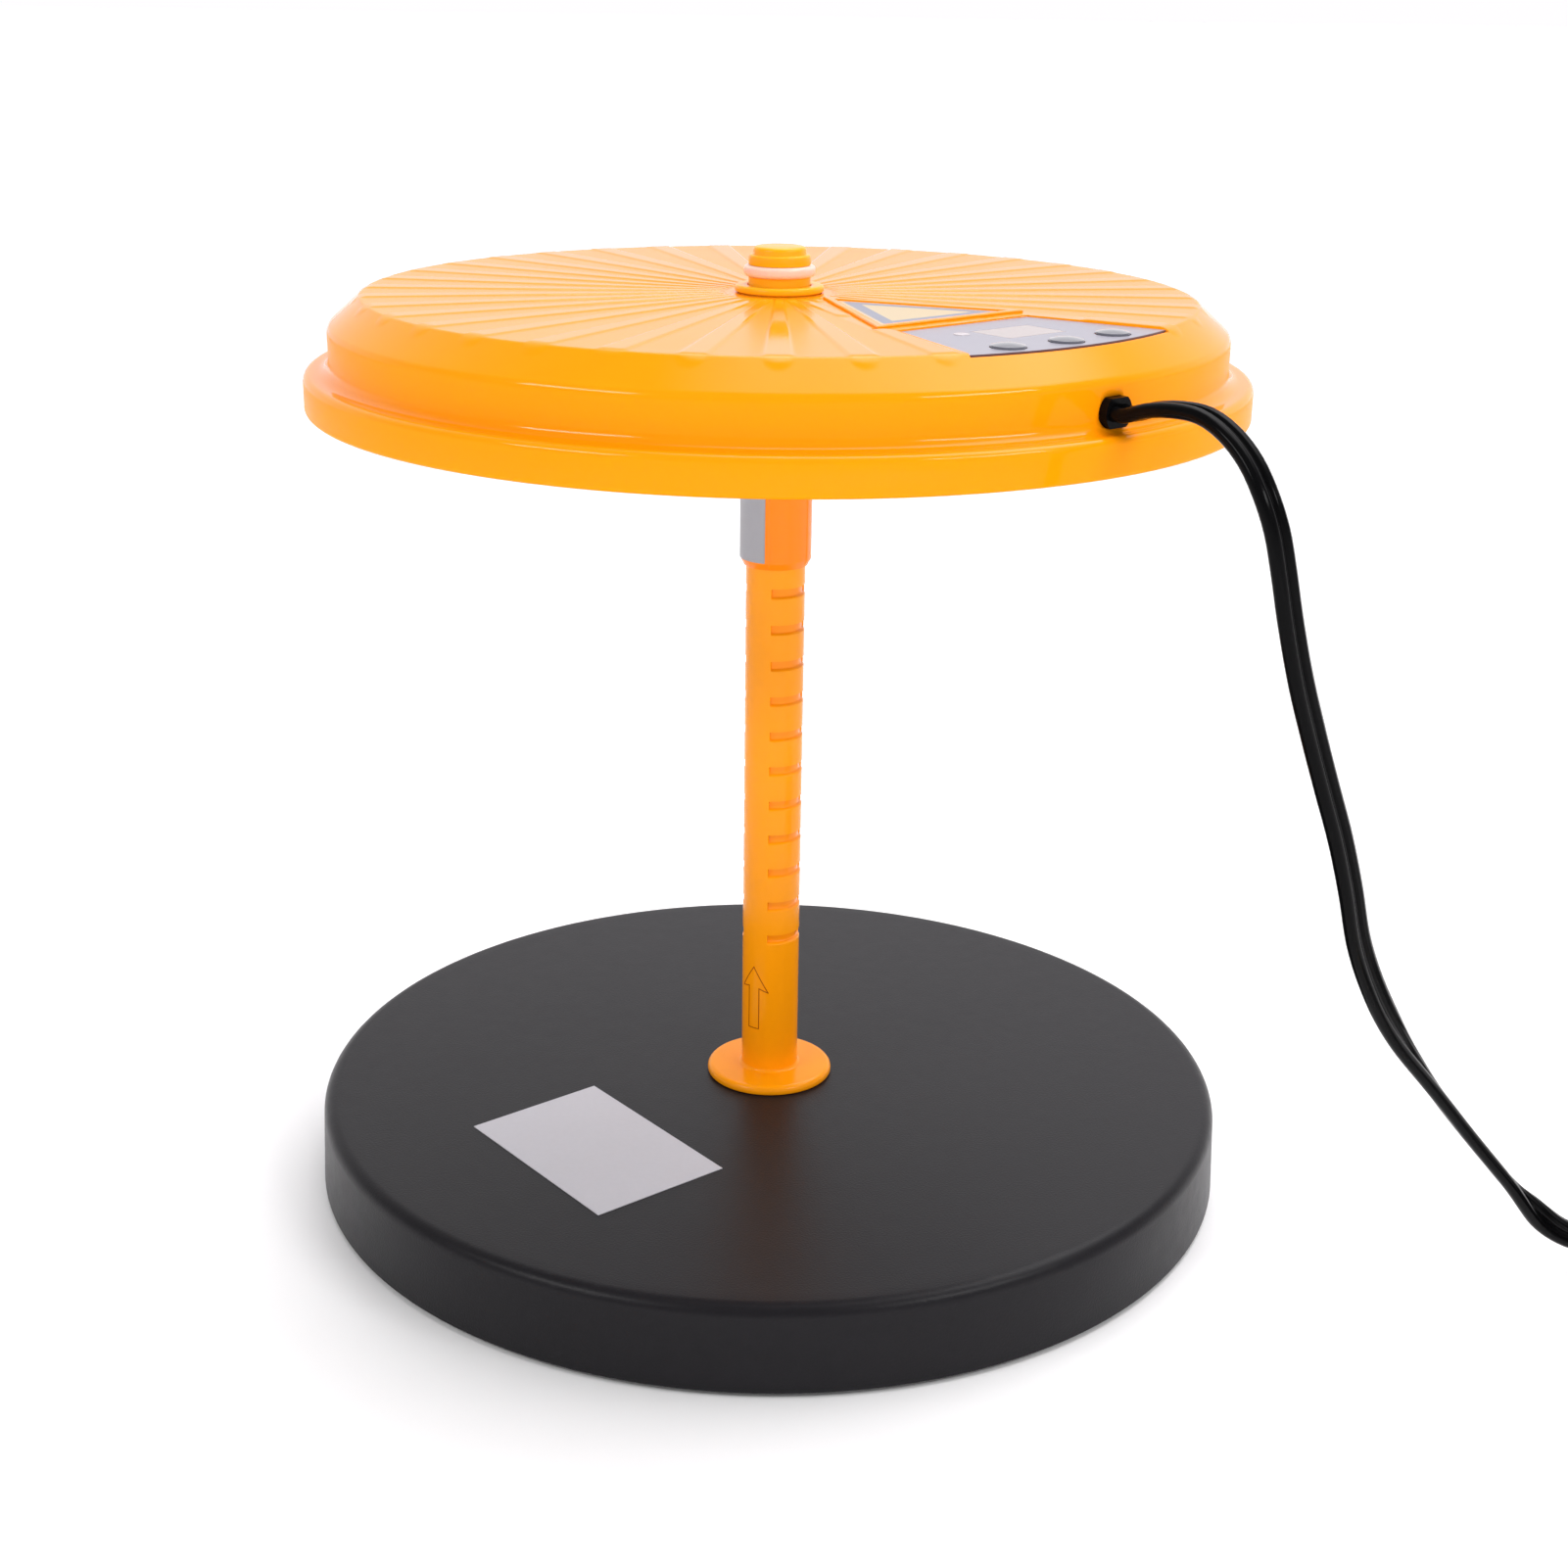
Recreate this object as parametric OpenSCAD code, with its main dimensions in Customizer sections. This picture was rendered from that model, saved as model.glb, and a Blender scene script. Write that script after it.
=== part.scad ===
// Height-adjustable brooder heater: a round warm plate on a notched post, standing on a weighted base.
// Millimetres. The origin is at the centre of the base on the floor, with Z up and the front at -Y.

/* [Base] */
// Radius of the base at its top edge
base_r = 127; // [110:1:150]
// Extra radius of the base at its rim, from the mould's draft
base_flare = 1; // [0:0.5:3]
// Height of the base's top face above the floor
base_top = 24.4; // [22:0.2:34]
// Rounding of the base's top edge
base_edge_r = 3.8; // [1:0.2:5]
// Wall of the base shell
base_wall = 2.4; // [1.6:0.2:3]
// Height of the rim above the floor
rim_gap = 1; // [0.6:0.1:2]
// Thickness of the base's bottom cover
base_cover_t = 2.4; // [2:0.1:4]
// Thickness of the steel weight
weight_t = 4; // [2:0.5:6]
// Free space between the steel weight and the screw bosses
weight_gap = 9.4; // [1:0.2:30]
// Inner radius of the steel weight
weight_hole_r = 26; // [20:1:40]
// Distance from the base's edge in to the screws of the bottom cover
base_screw_edge = 14; // [13:0.5:20]
// Number of screws in the bottom cover
base_screw_n = 6; // [3:1:8]
// Radius of a rubber foot
foot_r = 9; // [6:0.5:12]
// Distance from the base's edge in to the middle of a foot
foot_edge = 31; // [27:1:60]
// Number of feet
foot_n = 4; // [3:1:6]

/* [Post] */
// Radius of the post
post_r = 8; // [7:0.25:9]
// Wall of the hollow post
post_wall = 2.8; // [2.4:0.1:4]
// How far the post's top end stands above the collar
post_reach = 2.1; // [0.6:0.1:30]
// Radius of the flange at the post's foot
post_flange_r = 17.8; // [14:0.2:24]
// Thickness of that flange
post_flange_t = 2.6; // [1.5:0.1:4]
// Radius of the spigot that sits in the base
spigot_r = 6; // [5:0.1:8]
// Length of that spigot
spigot_l = 10; // [8:0.5:11]
// Lower edge of the lowest notch
notch_first = 66.8; // [50:0.2:80]
// Distance between notches
notch_pitch = 10; // [8:0.5:12]
// Number of notches in each row
notch_n = 12; // [6:1:12]
// Height of a notch
notch_h = 2.7; // [1.8:0.1:3]
// Depth of a notch
notch_depth = 0.8; // [0.7:0.1:1.2]
// Rise of a notch's sloping lower face
notch_slope = 0.6; // [0:0.1:0.6]
// Width of each row of notches, in degrees round the post
notch_sector = 112; // [80:1:130]
// Middle of the front row of notches, in degrees from the front
notch_mid = 48; // [0:1:90]
// How far the pale stop ring under the cap stands out from the post
stop_ring_w = 1.2; // [0.8:0.1:3]
// Thickness of the stop ring
stop_ring_t = 2.8; // [2:0.1:5]
// Height of the cap's head
cap_h = 2.7; // [1.5:0.1:5]
// Chamfer of the cap's head
cap_chamfer = 0.6; // [0.2:0.1:0.8]
// Distance from the cap's edge in to its raised disc
cap_rim = 1.1; // [0.9:0.1:4]
// Height of that disc
cap_disc_h = 2; // [0.6:0.1:3]
// Chamfer of that disc
cap_disc_chamfer = 0.5; // [0.1:0.1:0.5]
// Length of the cap's stem inside the post
cap_stem_l = 8; // [4:0.5:15]

/* [Plate] */
// How far the lip stands out from the wall above it
lip_w = 6.5; // [5.5:0.1:9]
// Height of the lip's bottom edge above the floor
lip_bottom = 218.8; // [210:0.2:221]
// Height of the lip's wall
lip_h = 9.3; // [9:0.1:14]
// Radius of the wall above the lip
cap_wall_r = 115.3; // [108:0.1:116]
// Height of that wall, from the lip to the bevel
cap_wall_h = 11.2; // [11:0.1:14]
// Height of the bevel between the wall and the top face
bevel_h = 7.4; // [6:0.1:10]
// Width of the bevel
bevel_w = 8.5; // [4:0.1:9]
// Wall of the moulded cover
cover_wall = 2.2; // [1.6:0.1:2.6]
// Rounding of the lip's edges
lip_edge_r = 1.6; // [0.5:0.1:2]
// Fillet between the lip and the wall
lip_fillet_r = 3.2; // [1:0.1:4]
// Rounding where the wall meets the bevel
shoulder_r = 3; // [0.5:0.1:4]
// Number of radial ribs on the top face
rib_n = 36; // [18:1:40]
// Width of a rib at the edge of the top face
rib_w = 6.6; // [4:0.2:9]
// Width of a rib at its inner end
rib_w_in = 2.2; // [1:0.1:2.6]
// Height of a rib above the skin
rib_h = 0.3; // [0.2:0.1:1.2]
// Radius where the ribs start
rib_start = 15; // [14:0.5:20]
// Distance from the edge of the top face back to the middle of a rib's round end
rib_end = 2; // [1:0.1:4]
// Thickness of the aluminium heat plate
heat_plate_t = 1.5; // [1:0.1:2]
// Depth of the heat plate inside the lip
heat_plate_inset = 1.4; // [1.2:0.1:3]
// Thickness of the heating mat
mat_t = 1.2; // [0.6:0.1:2]
// Thickness of the insulation felt
felt_t = 4; // [2:0.2:4]
// Distance from the cover's wall in to the edge of the mat and the felt
mat_edge = 9.3; // [6:0.1:20]
// Distance from the hub out to the mat and the felt
mat_hub_gap = 9; // [3:0.5:20]
// Distance from the lip's edge in to the screws under the plate
plate_screw_edge = 5.8; // [5.4:0.1:6.6]
// Number of screws under the plate
plate_screw_n = 6; // [4:1:8]

/* [Collar] */
// How far the collar reaches below the notch that it is locked in
collar_below = 1.9; // [1.5:0.1:6]
// Wall of the collar below the plate
collar_wall = 1.2; // [1:0.1:2]
// How far the collar is thicker inside the hub
collar_hub_step = 1.1; // [0.7:0.1:2]
// Rounding of the collar's foot
collar_edge_r = 0.5; // [0.2:0.1:0.8]
// Height of the taper at the collar's foot
collar_taper_h = 1.8; // [0.6:0.1:4]
// How far the flange on the collar's top stands out
collar_flange_w = 0.9; // [0.8:0.1:3]
// Thickness of that flange
collar_flange_t = 1.7; // [1.2:0.1:2.8]
// Wall of the hub tube in the cover
hub_wall = 2.1; // [1.7:0.1:3]
// Depth of the grip recess in the collar
grip_depth = 0.3; // [0.1:0.1:0.4]
// Width of the grip recess, in degrees
grip_sector = 74; // [40:1:120]
// Middle of the grip recess, in degrees from the front
grip_mid = 25; // [0:1:60]
// Width of a lock tongue, in degrees
tongue_sector = 30; // [20:1:50]
// Height of a lock tongue
tongue_h = 1.1; // [0.8:0.1:1.2]
// Width of the retaining ring beyond the collar
retainer_w = 3.5; // [2.5:0.1:6]
// Thickness of the retaining ring
retainer_t = 1.4; // [1:0.1:2]

/* [Control panel] */
// Direction of the control panel and the cord, in degrees from the front towards the right
panel_dir = 40.5; // [0:0.5:90]
// How far the panel's curved edge reaches past the edge of the top face
panel_past = 0.2; // [0:0.1:0.6]
// Length of the panel along the radius
panel_l = 39.4; // [38:0.2:42]
// Half width of the panel at its inner edge
panel_half_in = 21.5; // [20:0.5:26]
// Half width of the panel at its outer corners
panel_half_out = 32.4; // [30:0.2:36]
// Depth of the panel's recess below the top face
panel_recess = 0.9; // [0.6:0.1:1]
// Thickness of the panel film
panel_t = 0.5; // [0.3:0.1:0.6]
// Width of the display window
window_w = 19; // [16:0.5:22]
// Height of the display window along the radius
window_l = 13; // [10:0.5:13]
// Distance from the panel's inner edge to the middle of the window
window_in = 15.8; // [14:0.2:16.4]
// How far the window sits to the right of the panel's middle
window_side = 2; // [0:0.5:4]
// Radius of a button
button_r = 4; // [3.5:0.1:4.4]
// Distance from the panel's curved edge in to the buttons
button_in = 6.6; // [6:0.2:8]
// Distance across the panel from the middle button to the others
button_apart = 17.3; // [14:0.1:18.5]
// How far a button stands above the film
button_h = 1.1; // [0.9:0.1:2]
// Distance from the axis to the triangle's tip
triangle_tip = 17; // [16:0.5:24]
// Distance between the triangle and the panel
triangle_gap = 4.2; // [3:0.2:12]
// Half width of the triangle's base
triangle_half = 24.3; // [18:0.1:26]
// Width of the triangle's raised border
triangle_border = 2.2; // [1:0.1:3]
// Height of that border above the top face
triangle_rise = 0.6; // [0.3:0.1:1.2]

/* [Labels] */
// Length of the label on the base
rating_l = 60; // [40:1:70]
// Width of the label on the base
rating_w = 40; // [20:1:45]
// Place of that label's middle, from the front and to the right
rating_place = [-46.5, -49]; // [-70:0.5:70]
// Turn of that label in degrees
rating_turn = -51; // [-90:1:90]
// Thickness of the labels
label_t = 0.2; // [0.1:0.05:0.3]

/* [Electrics] */
// Width of the control board
board_w = 60; // [58:1:62]
// Length of the control board along the radius
board_l = 37; // [35:0.5:37]
// Thickness of the control board
board_t = 1.6; // [1:0.1:2]
// Height of the board's underside above the felt
board_lift = 9.5; // [9.5:0.1:10.5]
// Radius of the thermal cutout's can
cutout_r = 7; // [5:0.5:9]
// Height of the thermal cutout's can
cutout_h = 5; // [4:0.2:8]

/* [Cord] */
// Width of the flat twin cord
cord_w = 7; // [6:0.2:8]
// Thickness of the flat twin cord
cord_t = 3.5; // [3:0.1:4]
// Height of the cord's exit above the lip
cord_exit_up = 4.4; // [3.4:0.1:5]
// How far the cord's bush stands out of the wall
bush_out = 2.1; // [1:0.1:4]
// Radius of that bush
bush_r = 4.3; // [4.2:0.1:4.6]
// Height of the bush between its two flats
bush_flats = 6.8; // [5.4:0.1:8]
// Radius of the coil's first turn
coil_r = 44; // [38:0.5:50]
// Full turns in each layer of the coil
coil_turns = 2; // [1:1:3]
// Free space between neighbouring turns
coil_gap = 0.7; // [0.5:0.1:2]
// Width of the tie round the coil
tie_w = 8; // [4:0.5:15]
// Thickness of the tie
tie_t = 0.8; // [0.5:0.1:0.9]
// Straight length of cord between the coil and the plug
tail_l = 24; // [24:1:60]
// Length of the plug's tapered strain relief
relief_l = 20; // [20:1:40]
// Length of the plug's body
plug_l = 32; // [25:1:45]
// Thickness of the plug's body
plug_t = 17; // [12:0.5:22]

/* [Hidden] */
$fn = 64;
// General clearances: running gap between moving pieces, seat gap between fixed ones, cutting overlap
run_gap = 0.3;
seat_gap = 0.1;
cut = 1;
// How deep the shapes of one moulding sink into each other
weld = 0.5;

orange = [1.0, 0.56, 0.08];
black = [0.16, 0.16, 0.18];
cord_black = [0.05, 0.05, 0.06];
label_white = [0.82, 0.81, 0.83];
steel = [0.72, 0.73, 0.75];

// Base levels, from the floor up, and the places of its pieces
cover_low = rim_gap + 0.2;
cover_top = cover_low + base_cover_t;
base_ceiling = base_top - base_wall;
rim_in = base_r + base_flare - base_wall;
foot_h = cover_low;
socket_r = spigot_r + 5;
socket_floor = base_top - spigot_l - 4;
socket_floor_t = 4 - seat_gap;
screw_r = 1.5;
screw_head_r = 3.4;
screw_boss_r = 3.6;
base_screw_l = 11;
base_screw_sink = 1.4;
clearance_hole = 0.4;
base_screw_circle = base_r - base_screw_edge;
weight_r = base_screw_circle - screw_boss_r - weight_gap;
foot_circle = base_r - foot_edge;
hold_down_r = (weight_r + weight_hole_r) / 2;
bolt_r = 2.5;
washer_r = 9;
washer_t = 1.5;

// Radii round the post, from its bore out to the hub
post_bore_r = post_r - post_wall;
cap_stem_r = post_bore_r - seat_gap;
cap_disc_r = post_r - cap_rim;
stop_ring_r = post_r + stop_ring_w;
notch_floor_r = post_r - notch_depth;
tongue_in_r = notch_floor_r + run_gap;
collar_bore_r = post_r + run_gap;
tongue_out_r = collar_bore_r + 0.45;
collar_r = collar_bore_r + collar_wall;
collar_foot_wall = 0.25 * collar_wall;
groove_r = collar_r - 0.5;
collar_hub_r = collar_r + collar_hub_step;
collar_flange_r = collar_hub_r + collar_flange_w;
retainer_r = collar_r + retainer_w;
hub_bore_r = collar_hub_r + run_gap;
hub_r = hub_bore_r + hub_wall;

// Plate radii, and its levels from the lip up
lip_r = cap_wall_r + lip_w;
top_r = cap_wall_r - bevel_w;
mat_r = cap_wall_r - mat_edge;
mat_hole_r = hub_r + mat_hub_gap;
plate_screw_circle = lip_r - plate_screw_edge;
lip_top = lip_bottom + lip_h;
shoulder = lip_top + cap_wall_h;
plate_top = shoulder + bevel_h;
ceiling = plate_top - cover_wall;
heat_low = lip_bottom + heat_plate_inset;
heat_top = heat_low + heat_plate_t;
felt_low = heat_top + mat_t;
felt_top = felt_low + felt_t;

// Levels of the post, the collar and what holds them
post_base = base_top;
lock_notch = notch_first + notch_pitch * (notch_n - 1);
tongue_low = lock_notch + notch_h - tongue_h - 0.25;
collar_foot = lock_notch - collar_below;
hub_low = heat_low + 0.2;
retainer_top = heat_low - run_gap;
retainer_low = retainer_top - retainer_t;
flange_low = plate_top + run_gap;
collar_top = flange_low + collar_flange_t;
post_top = collar_top + post_reach;
cap_low = post_top + stop_ring_t;
cap_top = cap_low + cap_h + cap_disc_h;

// Control panel and board
panel_outer_r = top_r + panel_past;
panel_inner = panel_outer_r - panel_l;
window_place = panel_inner + window_in;
button_place = panel_outer_r - button_in;
button_step = asin(button_apart / button_place);
triangle_base = panel_inner - triangle_gap;
recess_floor = plate_top - panel_recess;
film_top = recess_floor + panel_t;
board_low = felt_top + board_lift;
board_top = board_low + board_t;
board_past_buttons = 3.1;
board_mid = button_place + board_past_buttons - board_l / 2;
board_hole = [board_w / 2 - 3.5, board_l / 2 - 4.5];
small_screw = 0.85;
small_screw_l = 6;
pilot_r = small_screw * screw_r + seat_gap;
clamp_screw_l = 9;
standoff_r = 3;
button_stem_r = 1.5;
button_flange_r = button_r + 1;
button_flange_t = 1;
button_travel = 0.6;
button_gap = 0.25;
switch_body = [6, 6, 3.4];
plunger_r = 1.7;
plunger_h = 0.7;
led_r = 1.5;
led_place = [12.2, panel_inner + 11.4];

// Cord exit, with the bush's bore a slot that fits the flat cord
cord_exit_h = lip_top + cord_exit_up;
bush_face = cap_wall_r + bush_out;
bush_flange_r = bush_r + 1.8;
bush_flange_t = 2;
clamp_place = cap_wall_r - cover_wall - 6;
clamp_screw_side = cord_w / 2 + 5;
clamp_bar = [2 * clamp_screw_side + 8, 7, 1.8];
cord_under = cord_exit_h - cord_t / 2;
anvil_in = button_place + button_flange_r + 0.5;
anvil_out = clamp_place + clamp_bar.y / 2;
terminal_size = [15, 10, 9];
terminal_place = clamp_place - clamp_bar.y / 2 - 2 - terminal_size.y / 2;

// Direction in the plan for an angle counted from the front towards the right
function heading(a) = [sin(a), -cos(a), 0];
function panel_point(x, y, z) = y * heading(panel_dir) - x * heading(panel_dir + 90) + [0, 0, z];
function unit(v) = v / norm(v);
function smooth(x) = let (s = min(max(x, 0), 1)) s * s * (3 - 2 * s);

// Where a rounded corner's arc starts, ends and has its centre
function arc_start(a, p, b, r) = p + unit(a - p) * r / tan(corner_half(a, p, b));
function corner_half(a, p, b) = acos(unit(a - p) * unit(b - p)) / 2;
function arc_centre(a, p, b, r) = p + unit(unit(a - p) + unit(b - p)) * r / sin(corner_half(a, p, b));
function around(list, i) = list[(i + len(list)) % len(list)];

// Outline whose corners are rounded: a positive radius on an outer corner, a negative one on an inner corner
module rounded_outline(points, radii) {
    n = len(points);
    difference() {
        union() {
            polygon([for (i = [0:n - 1])
                let (a = around(points, i - 1), p = points[i], b = around(points, i + 1), r = abs(radii[i]))
                each r == 0 ? [p] : [arc_start(a, p, b, r), arc_start(b, p, a, r)]]);
            for (i = [0:n - 1]) if (radii[i] > 0)
                translate(arc_centre(around(points, i - 1), points[i], around(points, i + 1), radii[i]))
                    circle(radii[i]);
        }
        for (i = [0:n - 1]) if (radii[i] < 0)
            translate(arc_centre(around(points, i - 1), points[i], around(points, i + 1), -radii[i]))
                circle(-radii[i]);
    }
}

module ring(r_out, r_in, low, high) {
    translate([0, 0, low]) difference() {
        cylinder(h = high - low, r = r_out);
        translate([0, 0, -cut]) cylinder(h = high - low + 2 * cut, r = r_in);
    }
}

// Part of a ring, centred on an angle counted from the front
module sector(mid, width) {
    rotate(mid - width / 2 - 90) rotate_extrude(angle = width) children();
}

module around_circle(n, r, start = 0) {
    for (i = [0:n - 1]) rotate(start + 360 * i / n) translate([r, 0, 0]) children();
}

// Frame of the control panel: X runs to the left, Y outwards along the radius, as in panel_point()
module panel_frame(z = 0) {
    rotate(panel_dir - 90) translate([0, 0, z]) rotate(-90) children();
}

module base_outline() {
    rim_r = base_r + base_flare;
    rounded_outline([[0, rim_gap], [rim_r, rim_gap], [base_r, base_top], [0, base_top]],
        [0, 0, base_edge_r, 0]);
}

module base_shell() color(black) difference() {
    union() {
        difference() {
            rotate_extrude($fn = 128) base_outline();
            rotate_extrude($fn = 128) polygon([[0, rim_gap - cut], [rim_in, rim_gap - cut], [rim_in, rim_gap],
                [base_r - base_wall, base_ceiling], [0, base_ceiling]]);
        }
        translate([0, 0, socket_floor]) cylinder(h = base_ceiling - socket_floor + weld, r = socket_r);
        ring(hold_down_r + 1, hold_down_r - 1, cover_top + weight_t + run_gap, base_ceiling + weld);
        around_circle(base_screw_n, base_screw_circle)
            translate([0, 0, cover_top]) cylinder(h = base_ceiling - cover_top + weld, r = screw_boss_r);
    }
    translate([0, 0, socket_floor + socket_floor_t])
        cylinder(h = spigot_l + base_wall + cut, r = spigot_r + seat_gap);
    translate([0, 0, socket_floor - cut]) cylinder(h = socket_floor_t + 2 * cut, r = bolt_r + clearance_hole);
    around_circle(base_screw_n, base_screw_circle) translate([0, 0, cover_top - cut])
        cylinder(h = base_screw_l + cut, r = screw_r + seat_gap);
}

module base_cover() color(black) difference() {
    translate([0, 0, cover_low]) cylinder(h = base_cover_t, r = base_r - base_wall - 0.5, $fn = 128);
    around_circle(base_screw_n, base_screw_circle) {
        translate([0, 0, cover_low - cut]) {
            cylinder(h = base_cover_t + 2 * cut, r = screw_r + clearance_hole);
            cylinder(h = base_screw_sink + cut, r = screw_head_r + clearance_hole);
        }
    }
}

// A pan-head screw with its head's underside at the origin, pointing up
module screw(length, head_h = 1.3) {
    difference() {
        union() {
            translate([0, 0, -head_h]) cylinder(h = head_h, r = screw_head_r);
            cylinder(h = length, r = screw_r);
        }
        translate([0, 0, -head_h - cut]) cylinder(h = 0.7 + cut, r = 1.4, $fn = 6);
    }
}

module base_screws() color(steel) around_circle(base_screw_n, base_screw_circle)
    translate([0, 0, cover_low + base_screw_sink]) screw(base_screw_l);

module rubber_feet() color(cord_black) around_circle(foot_n, foot_circle, 45) rotate_extrude()
    rounded_outline([[0, 0], [foot_r, 0], [foot_r, foot_h], [0, foot_h]], [0, 0.4, 0, 0]);

module counterweight() color(steel) ring(weight_r, weight_hole_r, cover_top, cover_top + weight_t);

module rating_label() color(label_white) translate([rating_place.x, rating_place.y, base_top])
    rotate(rating_turn) translate([-rating_l / 2, -rating_w / 2, 0]) cube([rating_l, rating_w, label_t]);

// One notch's cross-section: flat on top, sloping below
module notch_outline() {
    polygon([[notch_floor_r, notch_slope], [notch_floor_r, notch_h], [post_r + cut, notch_h],
        [post_r + cut, 0], [post_r, 0]]);
}

module post() color(orange) difference() {
    union() {
        rotate_extrude() rounded_outline([[0, post_base], [post_flange_r, post_base],
            [post_flange_r, post_base + post_flange_t], [post_r, post_base + post_flange_t],
            [post_r, post_top], [0, post_top]], [0, 0, 0.8, -1, 0, 0]);
        translate([0, 0, post_base - spigot_l]) cylinder(h = spigot_l + cut, r = spigot_r);
    }
    translate([0, 0, post_base - spigot_l - cut]) cylinder(h = 2 * spigot_l, r = bolt_r + seat_gap);
    translate([0, 0, post_base + 2 * spigot_l]) cylinder(h = post_top, r = post_bore_r);
    for (side = [0, 180], i = [0:notch_n - 1])
        translate([0, 0, notch_first + notch_pitch * i])
            sector(notch_mid + side, notch_sector) notch_outline();
}

module post_screw() color(steel) translate([0, 0, socket_floor - washer_t]) {
    translate([0, 0, -4]) cylinder(h = 4, r = 5, $fn = 6);
    cylinder(h = 16, r = bolt_r);
}

module post_washer() color(steel)
    ring(washer_r, bolt_r + clearance_hole, socket_floor - washer_t, socket_floor);

module stop_ring() color([0.96, 0.86, 0.82])
    ring(stop_ring_r, cap_stem_r + seat_gap, post_top, cap_low);

module post_cap() color(orange) rotate_extrude() polygon([[0, post_top - cap_stem_l],
    [cap_stem_r, post_top - cap_stem_l], [cap_stem_r, cap_low], [post_r, cap_low],
    [post_r, cap_low + cap_h - cap_chamfer], [post_r - cap_chamfer, cap_low + cap_h],
    [cap_disc_r, cap_low + cap_h], [cap_disc_r, cap_top - cap_disc_chamfer],
    [cap_disc_r - cap_disc_chamfer, cap_top], [0, cap_top]]);

// Outside of the moulded cover, from the lip up to the top face
module cover_outline() {
    rounded_outline([[0, lip_bottom], [lip_r, lip_bottom], [lip_r, lip_top], [cap_wall_r, lip_top],
        [cap_wall_r, shoulder], [top_r, plate_top], [0, plate_top]],
        [0, 0.6, lip_edge_r, -lip_fillet_r, shoulder_r, 0, 0]);
}

// Hollow of the cover, one wall inside it
module cover_hollow(wall) {
    wall_in = cap_wall_r - wall;
    lip_in = lip_r - wall;
    bevel_turn = atan(bevel_h / bevel_w);
    polygon([[0, lip_bottom - cut], [lip_in, lip_bottom - cut], [lip_in, lip_top - wall],
        [wall_in, lip_top - wall], [wall_in, shoulder - wall * tan((90 - bevel_turn) / 2)],
        [top_r - wall * tan(bevel_turn / 2), plate_top - wall], [0, plate_top - wall]]);
}

// One rib, a flat pad that widens outwards and ends round over the edge of the top face
module rib() {
    end = top_r - rib_end;
    translate([0, 0, shoulder]) linear_extrude(bevel_h + 2 * rib_h) {
        polygon([[-rib_w_in / 2, -rib_start], [rib_w_in / 2, -rib_start], [rib_w / 2, -end],
            [-rib_w / 2, -end]]);
        translate([0, -end]) circle(rib_w / 2);
    }
}

// Layer on the cover's skin that the ribs fill, from inside the skin to the ribs' height above it
module rib_layer() {
    rotate_extrude($fn = 128) polygon([[rib_start - 2, plate_top - 1], [top_r - 1, plate_top - 1],
        [cap_wall_r - 1, shoulder - 1], [cap_wall_r + rib_h, shoulder],
        [top_r + rib_h / 2, plate_top + rib_h], [rib_start - 2, plate_top + rib_h]]);
}

module ribs() {
    difference() {
        intersection() {
            for (i = [0:rib_n - 1]) rotate(360 * i / rib_n) rib();
            rib_layer();
        }
        panel_frame(ceiling) linear_extrude(bevel_h + rib_h) {
            triangle(0);
            panel_outline(0.8, 6);
        }
    }
}

// The triangle on the top face, drawn in by an inset; its tip points to the axis
module triangle(inset) {
    half_tip = atan(triangle_half / (triangle_base - triangle_tip));
    tip = triangle_tip + inset / sin(half_tip);
    foot = triangle_base - inset;
    half = (foot - tip) * tan(half_tip);
    polygon([[0, tip], [half, foot], [-half, foot]]);
}

// Outline of the control panel, with a margin on its straight sides and another on its curved edge
module panel_outline(margin, outside) {
    reach = panel_outer_r + outside;
    corner_y = sqrt(panel_outer_r * panel_outer_r - panel_half_out * panel_half_out);
    flare = (panel_half_out - panel_half_in) / (corner_y - panel_inner);
    half_low = panel_half_in + margin - flare * margin;
    half_high = panel_half_in + margin + flare * (reach - panel_inner);
    intersection() {
        polygon([[-half_low, panel_inner - margin], [half_low, panel_inner - margin], [half_high, reach],
            [-half_high, reach]]);
        circle(reach, $fn = 128);
    }
}

module at_buttons() {
    for (i = [-1:1]) rotate(i * button_step) translate([0, button_place, 0]) children();
}

module window_outline(margin) {
    translate([-window_side - window_w / 2 - margin, window_place - window_l / 2 - margin])
        square([window_w + 2 * margin, window_l + 2 * margin]);
}

module at_board_holes() {
    for (x = [-1, 1], y = [-1, 1]) translate([x * board_hole.x, board_mid + y * board_hole.y, 0]) children();
}

module at_clamp_screws() {
    for (x = [-1, 1]) translate([x * clamp_screw_side, clamp_place, 0]) children();
}

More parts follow.
